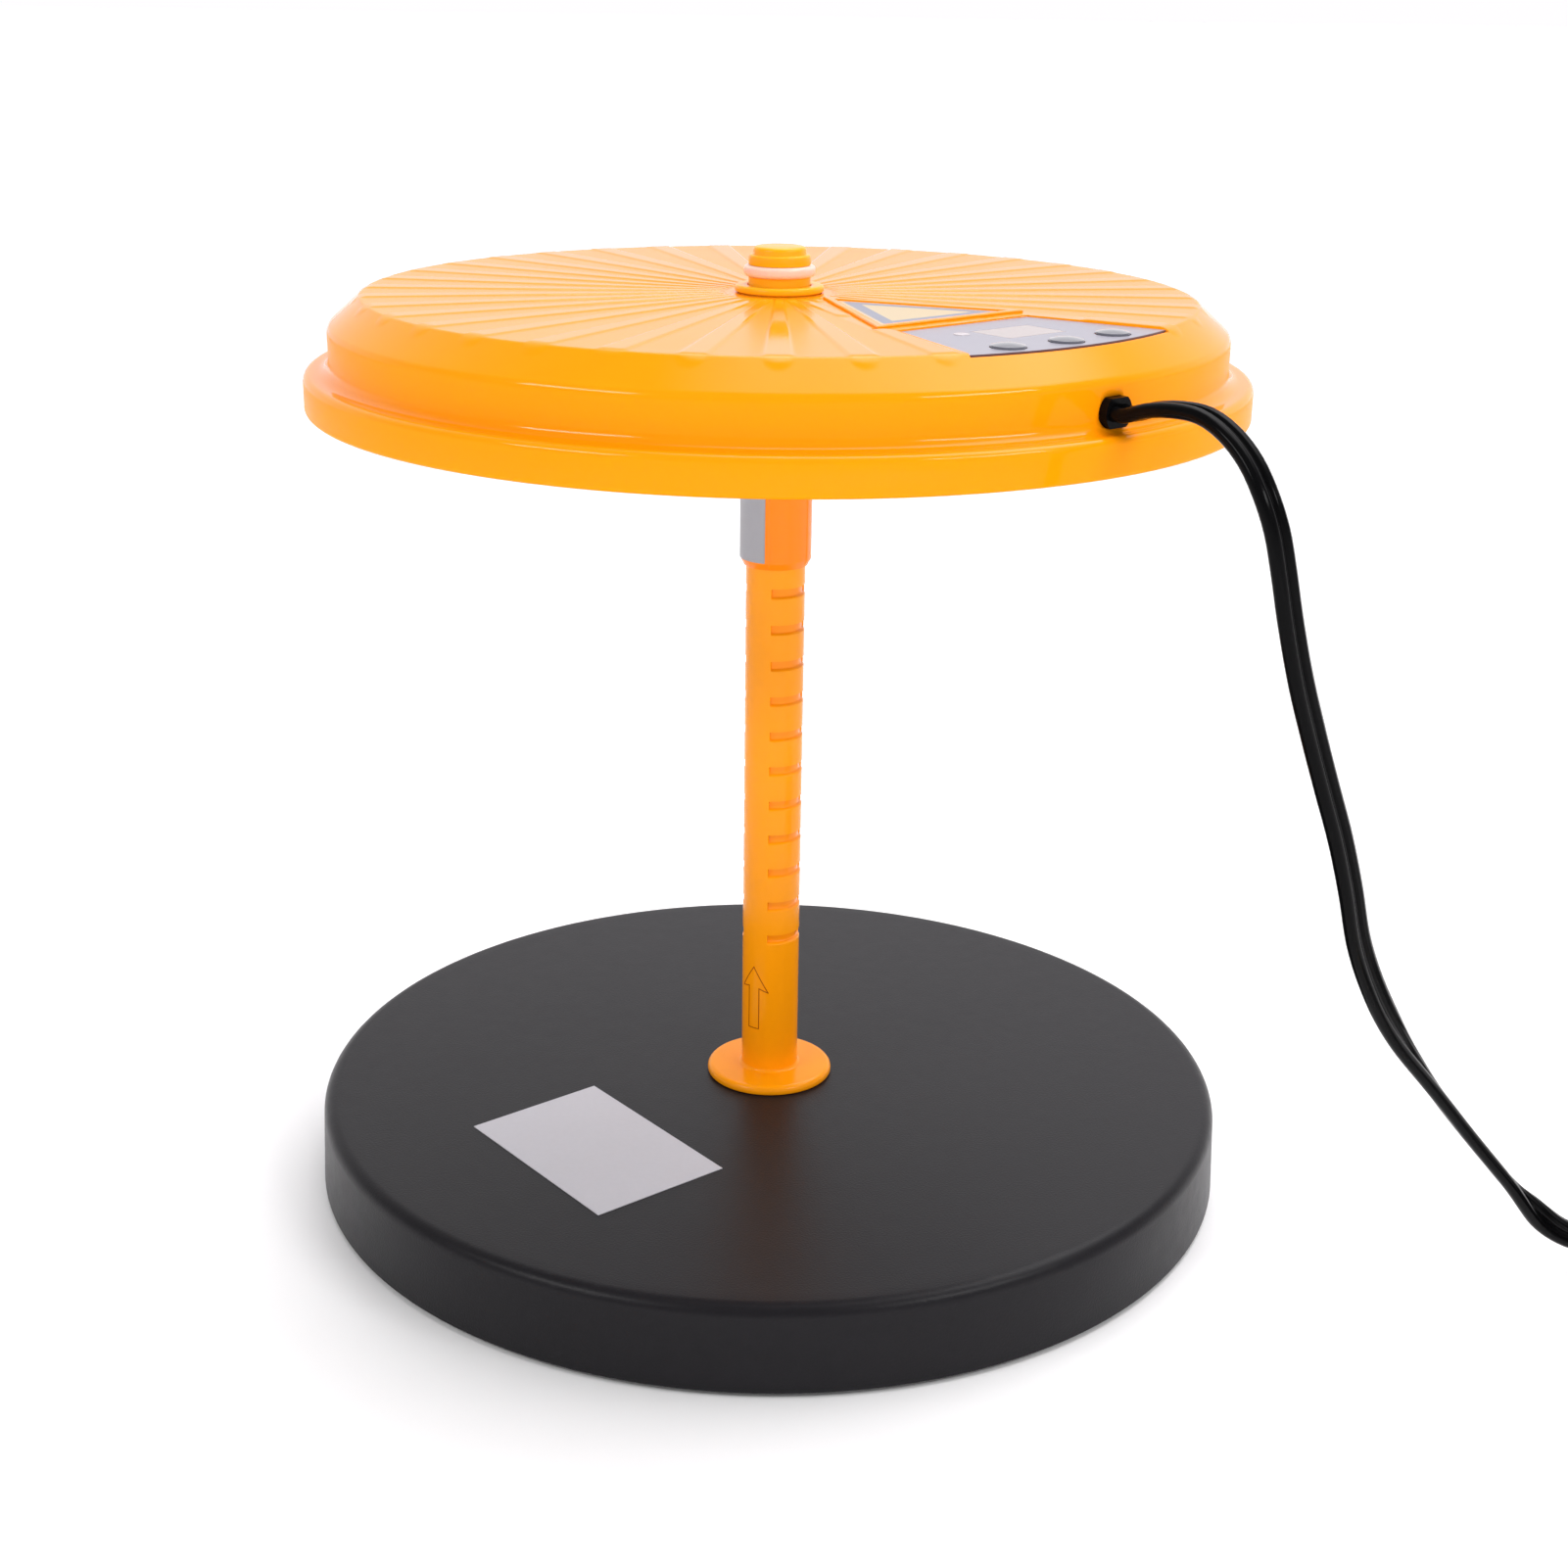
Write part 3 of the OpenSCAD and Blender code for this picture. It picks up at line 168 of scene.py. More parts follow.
def ring_faces(count, n, first=0):
    """Faces that join a row of rings of n points each, closed at both ends."""
    faces = []
    for low in range(first, first + (count - 1) * n, n):
        faces += [(low + k, low + (k + 1) % n, low + n + (k + 1) % n, low + n + k) for k in range(n)]
    last = first + (count - 1) * n
    return faces + [tuple(range(first, first + n)), tuple(range(last, last + n))]


def rounded(points, radii, steps=5):
    """Corners of a closed outline, each a list of points, rounded where radii names them by number."""
    points = np.array(points, float)
    corners = []
    for i, p in enumerate(points):
        u, v = points[i - 1] - p, points[(i + 1) % len(points)] - p
        u, v = u / np.linalg.norm(u), v / np.linalg.norm(v)
        half = math.acos(np.clip(u @ v, -1, 1)) / 2
        r = radii.get(i, 0)
        if not r:
            corners.append([p])
            continue
        centre = p + (u + v) / np.linalg.norm(u + v) * r / math.sin(half)
        first = p + u * r / math.tan(half) - centre
        side = np.array([-first[1], first[0]])
        side *= np.sign(side @ (p + v * r / math.tan(half) - centre))
        corners.append([centre + first * math.cos(t) + side * math.sin(t)
                        for t in np.linspace(0, math.pi - 2 * half, steps + 1)])
    return corners


def joined(corners):
    """One outline from its corners' points."""
    return [p for corner in corners for p in corner]


def lathe(name, outline, angles, material, shape=None, sharp=40):
    """Closed outline of (radius, height) points turned about the post's axis, and then shaped."""
    outline = np.array(outline)
    r, z, a = np.broadcast_arrays(outline[:, 0][None, :], outline[:, 1][None, :], np.array(angles)[:, None])
    if shape:
        r, z, a = shape(r.copy(), z.copy(), a.copy())
    points = np.stack([r * np.sin(a), -r * np.cos(a), z], -1).reshape(-1, 3)
    n, m = len(angles), len(outline)
    faces = [(i * m + j, (i + 1) % n * m + j, (i + 1) % n * m + (j + 1) % m, i * m + (j + 1) % m)
             for i in range(n) for j in range(m)]
    return piece(name, points, faces, material, sharp)


base_black = paint("base_black", (0.0105, 0.0098, 0.0118), 0.36, tint=0.2, scale=1800.0, grain=0.5,
                   Specular_IOR_Level=0.16)
base_r, base_foot_r, base_wall = 127.0, 128.0, 2.4
base_top, base_ceiling, base_low = 24.4, 22.0, 1.0
hold_in, hold_out, hold_low = 62.0, 64.0, 7.9
socket_r, socket_low, seat_r, seat_low, screw_hole_r = 11.0, 10.4, 6.1, 14.3, 2.9
base_corners = rounded([
    (seat_r, base_top), (base_r, base_top), (base_foot_r, base_low), (base_foot_r - base_wall, base_low),
    (base_r - base_wall, base_ceiling), (hold_out, base_ceiling), (hold_out, hold_low), (hold_in, hold_low),
    (hold_in, base_ceiling), (socket_r, base_ceiling), (socket_r, socket_low), (screw_hole_r, socket_low),
    (screw_hole_r, seat_low), (seat_r, seat_low)], {1: 3.8, 2: 0.6}, 10)
base_outline = base_corners[0] + [(r, base_top) for r in range(12, 123, 6)] + joined(base_corners[1:])
base = lathe("base_dressed", base_outline, np.radians(np.arange(0, 360, 1.25)), base_black)
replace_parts(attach(base, "stand"), "base_shell")
boss_n, boss_r, boss_place, boss_low, boss_top, boss_sides = 6, 3.6, 113.0, 3.6, 22.1, 24
boss_points, boss_faces = [], []
for i in range(boss_n):
    way = 2 * math.pi * i / boss_n
    for z in (boss_low, boss_top):
        for turn in 2 * math.pi * np.arange(boss_sides) / boss_sides:
            boss_points.append((boss_place * math.cos(way) + boss_r * math.cos(turn),
                                boss_place * math.sin(way) + boss_r * math.sin(turn), z))
    boss_faces += ring_faces(2, boss_sides, 2 * boss_sides * i)
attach(piece("base_bosses", boss_points, boss_faces, base_black), "stand")

# Bottom cover, its six screws, four rubber feet and the steel weight that keeps the stand from tipping.
# The cover is moulded like the shell; the weight is a plain ring held down by a rib of the shell.
steel = paint("steel", (0.55, 0.56, 0.58), 0.28, tint=0.12, scale=900.0, grain=0.15, Metallic=1.0)
rubber = paint("rubber", (0.018, 0.018, 0.02), 0.7, tint=0.2, scale=900.0, grain=0.3)
iron = paint("weight_iron", (0.28, 0.28, 0.29), 0.45, tint=0.3, scale=300.0, grain=0.4, Metallic=1.0)


def dress(name, material):
    """Gives a CAD solid its finish."""
    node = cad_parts[name]
    node.data.materials.clear()
    node.data.materials.append(material)


dress("base_cover", base_black)
dress("base_screws", steel)
dress("rubber_feet", rubber)
dress("counterweight", iron)

# Rating label: a pale satin film stuck flat on the base's top by its own glue.
# It is left blank.
label_white = paint("label", (0.54, 0.53, 0.57), 0.4, tint=0.05, scale=700.0, grain=0.08)
dress("rating_label", label_white)

# Post: one hollow orange moulding with a foot flange and two opposite rows of twelve lock notches. One
# screw with a washer pulls its spigot into the base from below, and an outline arrow is printed near its
# foot.
post_r, post_top, post_bore, bore_low = 8.0, 250.8, 5.2, 44.4
flange_r, flange_top, spigot_r, spigot_low, pilot_r = 17.8, 27.0, 6.0, 14.4, 2.6
notch_first, notch_pitch, notch_n, notch_depth = 66.8, 10.0, 12, 0.8
notch_mid, notch_half, notch_end = 48.0, 56.0, 1.6
ramp_low, ramp_l, roof_low, roof_l = -0.05, 0.75, 2.6, 0.18
notch_steps = (-0.35, -0.2, -0.05, 0.1, 0.22, 0.33, 0.45, 0.58, 0.72, 1.1, 1.8, 2.4, 2.58, 2.62, 2.66, 2.7,
               2.74, 2.78, 2.9, 3.1)
row_low, row_top, neck_low = 66.0, 182.0, 246.0


def post_orange_painted_shade_and_light(place):
    """Post orange with painted shade on the notches' floors, and painted light that makes the top paler."""
    x, y, z = place.part("X"), place.part("Y"), place.part("Z")
    skin = (x * x + y * y).step(((post_r - 0.75) * MM) ** 2, ((post_r - 0.25) * MM) ** 2)
    rows = z.step(row_low * MM, (row_low + 0.5) * MM) * (1 - z.step(row_top * MM, (row_top + 1) * MM))
    # Painted light: the orange goes paler from neck_low upwards.
    plain = z.step(neck_low * MM, (neck_low + 2) * MM).mix((1.0, 0.33, 0.002, 1.0), (1.0, 0.44, 0.01, 1.0))
    # Painted shade: the notch floors within the rows get a deeper orange.
    return (rows * (1 - skin)).mix(plain, (0.95, 0.27, 0.001, 1.0))


def smooth(x):
    """0 below 0, 1 above 1, smooth between them."""
    x = np.clip(x, 0, 1)
    return x * x * (3 - 2 * x)


def cut_notches(r, z, a):
    """Notches with a flat top side and a sloping lower side, on two opposite sectors."""
    up = (z - notch_first + 1) % notch_pitch - 1
    depth = notch_depth * smooth((up - ramp_low) / ramp_l) * (1 - smooth((up - roof_low) / roof_l))
    off = (a - math.radians(notch_mid) + math.pi / 2) % math.pi - math.pi / 2
    depth *= smooth((math.radians(notch_half) - np.abs(off)) / math.radians(notch_end))
    row = (np.abs(r - post_r) < 0.01) & (z > notch_first - 1) & (z < notch_first + notch_pitch * notch_n - 5)
    return np.where(row, r - depth, r), z, a


post_angles = set(np.round(np.arange(0, 360, 3.0), 3))
for middle in (notch_mid, notch_mid + 180):
    for edge in (-notch_half, notch_half):
        post_angles |= set(np.round((middle + edge + np.linspace(-notch_end, notch_end, 9)) % 360, 3))
post_corners = rounded([
    (post_bore, bore_low), (post_bore, post_top), (post_r, post_top), (post_r, flange_top),
    (flange_r, flange_top), (flange_r, base_top), (spigot_r, base_top), (spigot_r, spigot_low),
    (pilot_r, spigot_low), (pilot_r, bore_low)], {3: 1.0, 4: 1.6, 5: 0.7}, 8)
notch_lines = sorted(notch_first + notch_pitch * i + step for i in range(notch_n) for step in notch_steps)
post_outline = joined(post_corners[:3]) + [(post_r, z) for z in reversed(notch_lines)]
post_outline += [(post_r, z) for z in np.arange(62, 30, -4.0)] + joined(post_corners[3:])
orange_post = paint("orange_post", post_orange_painted_shade_and_light, 0.16, tint=0.03, scale=500.0, grain=0.03,
                    Specular_IOR_Level=0.2)
post = lathe("post_dressed", post_outline, np.radians(sorted(post_angles)), orange_post,
             cut_notches)
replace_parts(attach(post, "stand"), "post")
dress("post_screw", steel)
dress("post_washer", steel)

arrow_mid, arrow_line, arrow_cuts = math.radians(-35.5), 0.13, 9
arrow = np.array([(-1.7, 40.4), (1.7, 40.4), (1.7, 52.9), (4.4, 51.9), (0, 59.3), (-4.4, 52.5), (-1.7, 53.2)])
print_r, under_r = post_r + 0.03, post_r - 0.02
arrow_points, arrow_faces = [], []
for i in range(len(arrow)):
    start, end = arrow[i], arrow[(i + 1) % len(arrow)]
    way = (end - start) / np.linalg.norm(end - start) * arrow_line
    side = np.array([-way[1], way[0]])
    for t in np.linspace(0, 1, arrow_cuts):
        middle = start - way + (end - start + 2 * way) * t
        for corner, r in ((middle - side, print_r), (middle + side, print_r),
                          (middle + side, under_r), (middle - side, under_r)):
            turn = arrow_mid + corner[0] / post_r
            arrow_points.append((r * math.sin(turn), -r * math.cos(turn), corner[1]))
    arrow_faces += ring_faces(arrow_cuts, 4, 4 * arrow_cuts * i)
print_brown = paint("arrow_print", (0.35, 0.05, 0.002), 0.5, tint=0.3, scale=2500.0, grain=0.05,
                    Specular_IOR_Level=0.0)
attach(piece("printed_arrow", arrow_points, arrow_faces, print_brown), "stand")

# Stop ring and cap: a pale nylon ring on the post's top keeps the collar on it, and an orange moulded cap
# holds the ring down with a plug that is pressed into the post's bore.
full_turn = np.radians(np.arange(0, 360, 2.5))
stop_r, stop_top = 9.2, 253.6
pale_nylon = paint("pale_nylon", (0.9, 0.68, 0.58), 0.3, tint=0.04, scale=500.0, grain=0.03,
                   Subsurface_Weight=0.3, Subsurface_Scale=2 * MM)
stop_corners = rounded([(post_bore, post_top), (stop_r, post_top), (stop_r, stop_top), (post_bore, stop_top)],
                       {1: 1.1, 2: 0.9})
stop_ring = lathe("stop_ring_dressed", joined(stop_corners), full_turn, pale_nylon)
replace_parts(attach(stop_ring, "stand"), "stop_ring")
cap_plug_r, cap_low, cap_top, disc_r, disc_top = 5.1, 242.8, 256.3, 6.9, 258.3
cap_corners = rounded([
    (0, cap_low), (cap_plug_r, cap_low), (cap_plug_r, stop_top), (post_r, stop_top), (post_r, cap_top),
    (disc_r, cap_top), (disc_r, disc_top), (0, disc_top)], {3: 0.3, 4: 0.7, 5: 0.2, 6: 1.1})
# Painted light: the cap is a paler orange than the post, for the brighter light on top.
cap_orange_painted_light = paint("cap_orange_painted_light", (1.0, 0.44, 0.006), 0.2, tint=0.03, scale=500.0, grain=0.03,
                   Specular_IOR_Level=0.2)
post_cap = lathe("post_cap_dressed", joined(cap_corners), full_turn, cap_orange_painted_light)
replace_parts(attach(post_cap, "stand"), "post_cap")

# Heat plate, heating mat and felt: an anodised aluminium disc warms the chicks, with a silicone mat bonded
# to its back and glass felt above it. The cutout and the sensor lie on the mat, with their leads.
aluminium = paint("aluminium", (0.72, 0.73, 0.75), 0.35, tint=0.06, scale=1200.0, grain=0.15, Metallic=1.0)
mat_red = paint("mat", (0.42, 0.07, 0.03), 0.55, tint=0.15, scale=600.0, grain=0.3)
felt_grey = paint("felt", (0.6, 0.58, 0.53), 0.9, tint=0.25, scale=1500.0, grain=0.8)
component_black = paint("component_black", (0.02, 0.02, 0.022), 0.45, tint=0.15, scale=900.0, grain=0.2)
wire_red = paint("wire_red", (0.5, 0.03, 0.02), 0.4, tint=0.08, scale=600.0, grain=0.1)
for name, finish, slot in (("heat_plate", aluminium, "aluminium"), ("plate_screws", steel, "steel"),
                           ("heating_mat", mat_red, "mat"), ("insulation_felt", felt_grey, "felt"),
                           ("thermal_cutout", component_black, "component_black"),
                           ("temperature_sensor", component_black, "component_black"),
                           ("heater_leads", wire_red, "wire_red"), ("sensor_lead", wire_red, "wire_red")):
    dress(name, finish)

# Control board: green laminate with its relay, capacitor, mains terminals, switches and display soldered on.
# Screws hold it under the cover's roof.
board_green = paint("board", (0.02, 0.2, 0.07), 0.3, tint=0.2, scale=1200.0, grain=0.1)
component_blue = paint("component_blue", (0.03, 0.09, 0.35), 0.3, tint=0.08, scale=600.0, grain=0.05)
terminal_green = paint("terminal_green", (0.04, 0.26, 0.09), 0.4, tint=0.08, scale=600.0, grain=0.1)
for name, finish, slot in (("control_board", board_green, "board"), ("board_screws", steel, "steel"),
                           ("display_module", component_black, "component_black"),
                           ("tact_switches", component_black, "component_black"),
                           ("relay", component_blue, "component_blue"),
                           ("capacitor", component_black, "component_black"),
                           ("terminal_block", terminal_green, "terminal_green")):
    dress(name, finish)

# Top cover: the glossy orange ABS moulding with 36 flat ribs that end round over its edge, a bevel, a lip, a
# recess for the panel and a hub for the collar. Six screws hold it to the heat plate from below.
panel_way = math.radians(40.5)
out_way = np.array([math.sin(panel_way), -math.cos(panel_way), 0.0])
left_way = np.array([-math.cos(panel_way), -math.sin(panel_way), 0.0])
plate_top, shoulder, lip_top, lip_low, cover_wall = 246.7, 239.3, 228.1, 218.8, 2.2
top_r, wall_r, lip_r = 106.8, 115.3, 121.8
hub_r, hub_bore, hub_low = 13.0, 10.9, 221.7
rib_n, rib_h, rib_root, rib_taper = 36, 0.3, 0.75, 0.0239
rib_start, rib_end, rib_shortest, rib_clear, rib_round = 16.0, 105.6, 1.5, 1.0, 0.7
ribbed_r, ribbed_z = 14.5, 236.0
rib_turn, rib_edge, rib_widest, rib_flank = 2 * math.pi / rib_n, math.radians(2.5), math.radians(4.2), 0.55
bevel_slope = (plate_top - shoulder) / (wall_r - top_r)
nose_r, nose_start, nose_fade = 4.7, 104.95, 4.0
nose_l = nose_r * math.sin(math.atan(bevel_slope))
nose_rise = (rib_h - nose_r + math.sqrt(nose_r ** 2 - nose_l ** 2)
             + bevel_slope * (nose_start + nose_l - top_r))
panel_inner, panel_outer, panel_half_in, panel_half_out = 67.6, 107.0, 21.5, 32.4
panel_flare = ((panel_half_out - panel_half_in)
               / (math.sqrt(panel_outer ** 2 - panel_half_out ** 2) - panel_inner))
triangle_tip, triangle_base, triangle_half, border, border_rise = 17.0, 63.4, 24.3, 2.2, 0.6
tip_slope = triangle_half / (triangle_base - triangle_tip)
tip_lean = math.hypot(1, tip_slope)


def in_print(x, y, margin):
    """Whether a point of the top face, in the panel's own axes, is inside the triangle or the panel."""
    in_triangle = y < triangle_base + margin and abs(x) < (y - triangle_tip) * tip_slope + margin * tip_lean
    in_panel = y > panel_inner - margin and abs(x) < panel_half_in + panel_flare * (y - panel_inner) + margin
    return in_triangle or in_panel


rib_spans = []
for i in range(rib_n):
    off = rib_turn * i - panel_way
    free = [r for r in np.arange(rib_start, rib_end + 0.01, 0.2)
            if not in_print(-r * math.sin(off), r * math.cos(off),
                            rib_clear + rib_round * (rib_root + rib_taper * r))]
    ends = [k for k in range(1, len(free)) if free[k] - free[k - 1] > 0.3]
    rib_spans.append([(free[a], free[b - 1]) for a, b in zip([0] + ends, ends + [len(free)])
                      if len(free) and free[b - 1] - free[a] > rib_shortest])


def raise_ribs(r, z, a):
    """Lines of the mesh follow the ribs' sides, and the skin rises to the ribs."""
    off = (a + rib_turn / 2) % rib_turn - rib_turn / 2
    rib = np.rint((a - off) / rib_turn).astype(int) % rib_n
    half = rib_root + rib_taper * r
    side = np.minimum(half / r, rib_widest)
    size = np.abs(off)
    outside = side + (size - rib_edge) * (rib_turn / 2 - side) / (rib_turn / 2 - rib_edge)
    turned = np.where(size < rib_edge, size * side / rib_edge, outside) * np.sign(off)
    past = r - nose_start - nose_l
    crown = (plate_top + rib_h - nose_r + np.sqrt(nose_r ** 2 - np.clip(r - nose_start, 0, nose_l) ** 2)
             - bevel_slope * np.maximum(past, 0) - nose_rise * smooth(past / nose_fade))
    lift = np.zeros_like(r)
    for i, spans in enumerate(rib_spans):
        for low, high in spans:
            beyond = np.maximum(np.maximum(low - r, r - high), 0)
            gap = np.hypot(r * np.sin(turned), beyond) - half
            rise = np.maximum(crown - z, 0) * smooth(0.5 - gap / (rib_flank * half))
            lift = np.where(rib == i, np.maximum(lift, rise), lift)
    skin = np.arange(r.shape[1])[None, :] < skin_points
    skin = skin & (r > ribbed_r) & (z > ribbed_z)
    return r, np.where(skin, z + lift, z), np.where(skin, a - off + turned, a)


cover_corners = rounded([
    (hub_bore, plate_top), (12, plate_top), (13.2, plate_top), (top_r, plate_top), (wall_r, shoulder),
    (wall_r, lip_top), (lip_r, lip_top), (lip_r, lip_low), (lip_r - cover_wall, lip_low),
    (lip_r - cover_wall, lip_top - cover_wall), (wall_r - cover_wall, lip_top - cover_wall),
    (wall_r - cover_wall, shoulder - cover_wall / 2), (top_r - 0.9, plate_top - cover_wall),
    (hub_r, plate_top - cover_wall), (hub_r, hub_low), (hub_bore, hub_low)],
    {0: 0.3, 3: 1.2, 4: 3.0, 5: 3.2, 6: 1.8, 7: 1.0}, 8)
edge_in, edge_out, bevel_end = cover_corners[3][0], cover_corners[3][-1], cover_corners[4][0]
cover_outline = joined(cover_corners[:3]) + [(r, plate_top) for r in np.arange(14.6, 102, 1.1)]
cover_outline += [(r, plate_top) for r in np.arange(102.3, edge_in[0] - 0.1, 0.45)] + cover_corners[3]
cover_outline += [edge_out + (bevel_end - edge_out) * t for t in np.linspace(0, 1, 20)[1:-1]]
cover_outline += joined(cover_corners[4:8])
skin_points = len(cover_outline)
cover_outline += joined(cover_corners[8:])
flank_lines = [0.5, 1.1, 1.6, 1.9, 2.1, 2.3, 2.5, 2.7, 2.95, 3.2, 3.5, 3.9, 4.4]
rib_lines = np.array([-5] + [-x for x in reversed(flank_lines)] + [0] + flank_lines)
cover_angles = np.radians(np.concatenate([360 / rib_n * i + rib_lines for i in range(rib_n)]))


def satin_orange(place):
    """Orange that is a little uneven, as the moulding's flow leaves it."""
    return place.noise(40.0, 2.0).mix((1.0, 0.305, 0.001, 1.0), (1.0, 0.32, 0.002, 1.0))


def rib_gloss(place):
    """Polished ribs with softer ground between them on the top face."""
    polished, softer = 0.08, 0.14
    x, y = place.part("X"), place.part("Y")
    r = place.maths("SQRT", x * x + y * y)
    off = place.maths("PINGPONG", place.maths("ARCTAN2", x, 0 - y), rib_turn / 2)
    between = (r * off - rib_taper * r - rib_root * MM).step(-0.3 * MM, 0.3 * MM)
    return polished + softer * between * place.part("Z").step((plate_top - 0.5) * MM, (plate_top - 0.2) * MM)


orange_cover = paint("orange_cover", satin_orange, rib_gloss, tint=0.02, scale=500.0, grain=0.02,
                     Specular_IOR_Level=0.2)
cover_tree = orange_cover.node_tree
cover_shader = cover_tree.nodes["Principled BSDF"]
facing = Shade(cover_tree, cover_tree.nodes.new("ShaderNodeNewGeometry").outputs["Normal"]).part("Z")
matt_share, steep_z, sloping_z = 0.6, 0.12, 0.4
matt = facing.node("ShaderNodeBsdfDiffuse", {}, {"Color": (1.0, 0.3125, 0.0015, 1.0)})
matt_sides = facing.node("ShaderNodeMixShader", {}, {
    0: matt_share * (1 - facing.step(steep_z, sloping_z)),
    1: Shade(cover_tree, cover_shader.outputs[0]), 2: matt})
cover_tree.links.new(matt_sides.socket, cover_tree.nodes["Material Output"].inputs["Surface"])
cover = lathe("top_cover_dressed", cover_outline, cover_angles, orange_cover, raise_ribs, 50)


def cut_out(target, points, faces):
    """Cuts a closed form out of a piece."""
    tool = piece("tool", points, faces, orange_cover)
    change = target.modifiers.new("cut", "BOOLEAN")
    change.object = tool
    change.operation = "DIFFERENCE"
    change.solver = "EXACT"
    graph = bpy.context.evaluated_depsgraph_get()
    result = bpy.data.meshes.new_from_object(target.evaluated_get(graph))
    target.modifiers.remove(change)
    target.data = result
    bpy.data.objects.remove(tool)


def on_panel(x, y, z):
    """A point given in the panel's own axes: to the left, outwards and up."""
    return x * left_way + y * out_way + np.array([0, 0, z])


recess_floor, recess_open, recess_gap, recess_reach = 245.8, 252.0, 0.2, panel_outer + 6
half_in = panel_half_in + recess_gap
half_out = half_in + panel_flare * (recess_reach - panel_inner)
recess = [(-half_in, panel_inner - recess_gap), (half_in, panel_inner - recess_gap), (half_out, recess_reach),
          (-half_out, recess_reach)]
cut_out(cover, [on_panel(x, y, z) for z in (recess_floor, recess_open) for x, y in recess],
        ring_faces(2, len(recess)))
hole_r, hole_flat, hole_in, hole_out, cord_z = 4.4, 3.5, 108.0, 122.0, 232.5
hole = [(hole_r * math.cos(t), cord_z + min(max(hole_r * math.sin(t), -hole_flat), hole_flat))
        for t in np.linspace(0, 2 * math.pi, 61)[:-1]]
cut_out(cover, [on_panel(x, y, z) for y in (hole_in, hole_out) for x, z in hole], ring_faces(2, len(hole)))
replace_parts(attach(cover, "heater"), "top_cover")

border_edge, border_sink = 0.25, 0.2
border_rings = ((0, -border_sink), (0, border_rise - border_edge), (border_edge, border_rise),
                (border - border_edge, border_rise), (border, border_rise - border_edge),
                (border, -border_sink))
border_points = []
for inset, rise in border_rings:
    tip = triangle_tip + inset * tip_lean / tip_slope
    foot = triangle_base - inset
    border_points += [on_panel(x, y, plate_top + rise) for x, y in (
        (0, tip), ((foot - tip) * tip_slope, foot), (-(foot - tip) * tip_slope, foot))]
rows = len(border_rings)
border_faces = [(3 * i + k, 3 * i + (k + 1) % 3, 3 * ((i + 1) % rows) + (k + 1) % 3, 3 * ((i + 1) % rows) + k)
                for i in range(rows) for k in range(3)]
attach(piece("triangle_border", border_points, border_faces, orange_cover, 30), "heater")

# Control panel: a grey polyester film stuck in the recess, with a clear display window, a status light under
# a small pale lens that is pressed into the film, and three glossy keys that come up through it.
film_edge = 106.6


def film_colour_painted_edge_shade(place):
    """Lavender grey with a dark line of painted shade along the outside edge."""
    x, y = place.part("X"), place.part("Y")
    return (x * x + y * y).step((film_edge * MM) ** 2, ((film_edge + 0.3) * MM) ** 2).mix(
        (0.33, 0.32, 0.38, 1.0), (0.09, 0.035, 0.04, 1.0))


film_grey = paint("panel_film", film_colour_painted_edge_shade, 0.3, tint=0.05, scale=700.0, grain=0.05)
window_film = paint("window", (0.44, 0.37, 0.36), 0.12, tint=0.05, scale=700.0, grain=0.03)
lens_pale = paint("led", (0.58, 0.53, 0.55), 0.2, tint=0.05, scale=700.0, grain=0.03)
button_grey = paint("button_grey", (0.11, 0.115, 0.145), 0.12, tint=0.05, scale=700.0, grain=0.03,
                    Specular_IOR_Level=1.0, Coat_Weight=1.0, Coat_Roughness=0.08)
dress("control_panel", film_grey)
dress("display_window", window_film)
dress("status_led", lens_pale)
led_low, led_high = (Vector(corner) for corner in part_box("status_led"))
lens_r, lens_h, lens_rim, lens_sink = 1.9, 0.3, 0.1, 0.02
lens_outline = [(0.0, -lens_sink), (lens_r, -lens_sink), (lens_r, lens_rim)]
lens_outline += [(lens_r * math.cos(t), lens_rim + (lens_h - lens_rim) * math.sin(t))
                 for t in np.radians(np.arange(10, 91, 10))]
lens = lathe("led_lens", lens_outline, full_turn, lens_pale)
lens_place = ((led_low.x + led_high.x) / 2, (led_low.y + led_high.y) / 2, led_high.z)
lens.data.transform(Matrix.Translation(lens_place))
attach(lens, "heater")
for name in ("left_button", "middle_button", "right_button"):
    dress(name, button_grey)

# Triangle label: a cream film cut to the triangle and stuck inside its raised border.
# It is left blank but for a plain grey frame.
frame_out, frame_in, print_blur = 3.4, 6.6, 0.2


def label_bands(place):
    """Cream field in a grey frame with a cream margin."""
    x, y = place.part("X"), place.part("Y")
    along = x * out_way[0] + y * out_way[1]
    across = place.maths("ABSOLUTE", x * left_way[0] + y * left_way[1])
    side = ((along - triangle_tip * MM) * tip_slope - across) / tip_lean
    inside = place.maths("MINIMUM", side, triangle_base * MM - along)
    band = (inside.step(frame_out * MM, (frame_out + print_blur) * MM)
            - inside.step(frame_in * MM, (frame_in + print_blur) * MM))
    return band.mix((0.62, 0.48, 0.28, 1.0), (0.24, 0.25, 0.33, 1.0))


cream = paint("cream_label", label_bands, 0.35, tint=0.05, scale=700.0, grain=0.05)
dress("triangle_label", cream)

# Lock collar: an orange moulded sleeve through the hub, with a grip recess and a blank label. Its tongues sit
# in the post's notches until it is turned, and a spring ring in its groove keeps it in the plate.
collar_bore, collar_r, collar_mouth_r, hub_part_r, collar_flange_r = 8.3, 9.5, 8.6, 10.6, 11.5
collar_foot, taper_top, hub_part_low, collar_flange_low, collar_top = 174.9, 176.7, 220.4, 247.0, 248.7
groove_r, groove_low, groove_top = 9.0, 218.4, 220.0
grip_mid, grip_half, grip_fade, grip_depth, grip_top = 25, 37, 2.0, 0.3, 217.6
painted_shade_to, painted_light_from = 220, 240


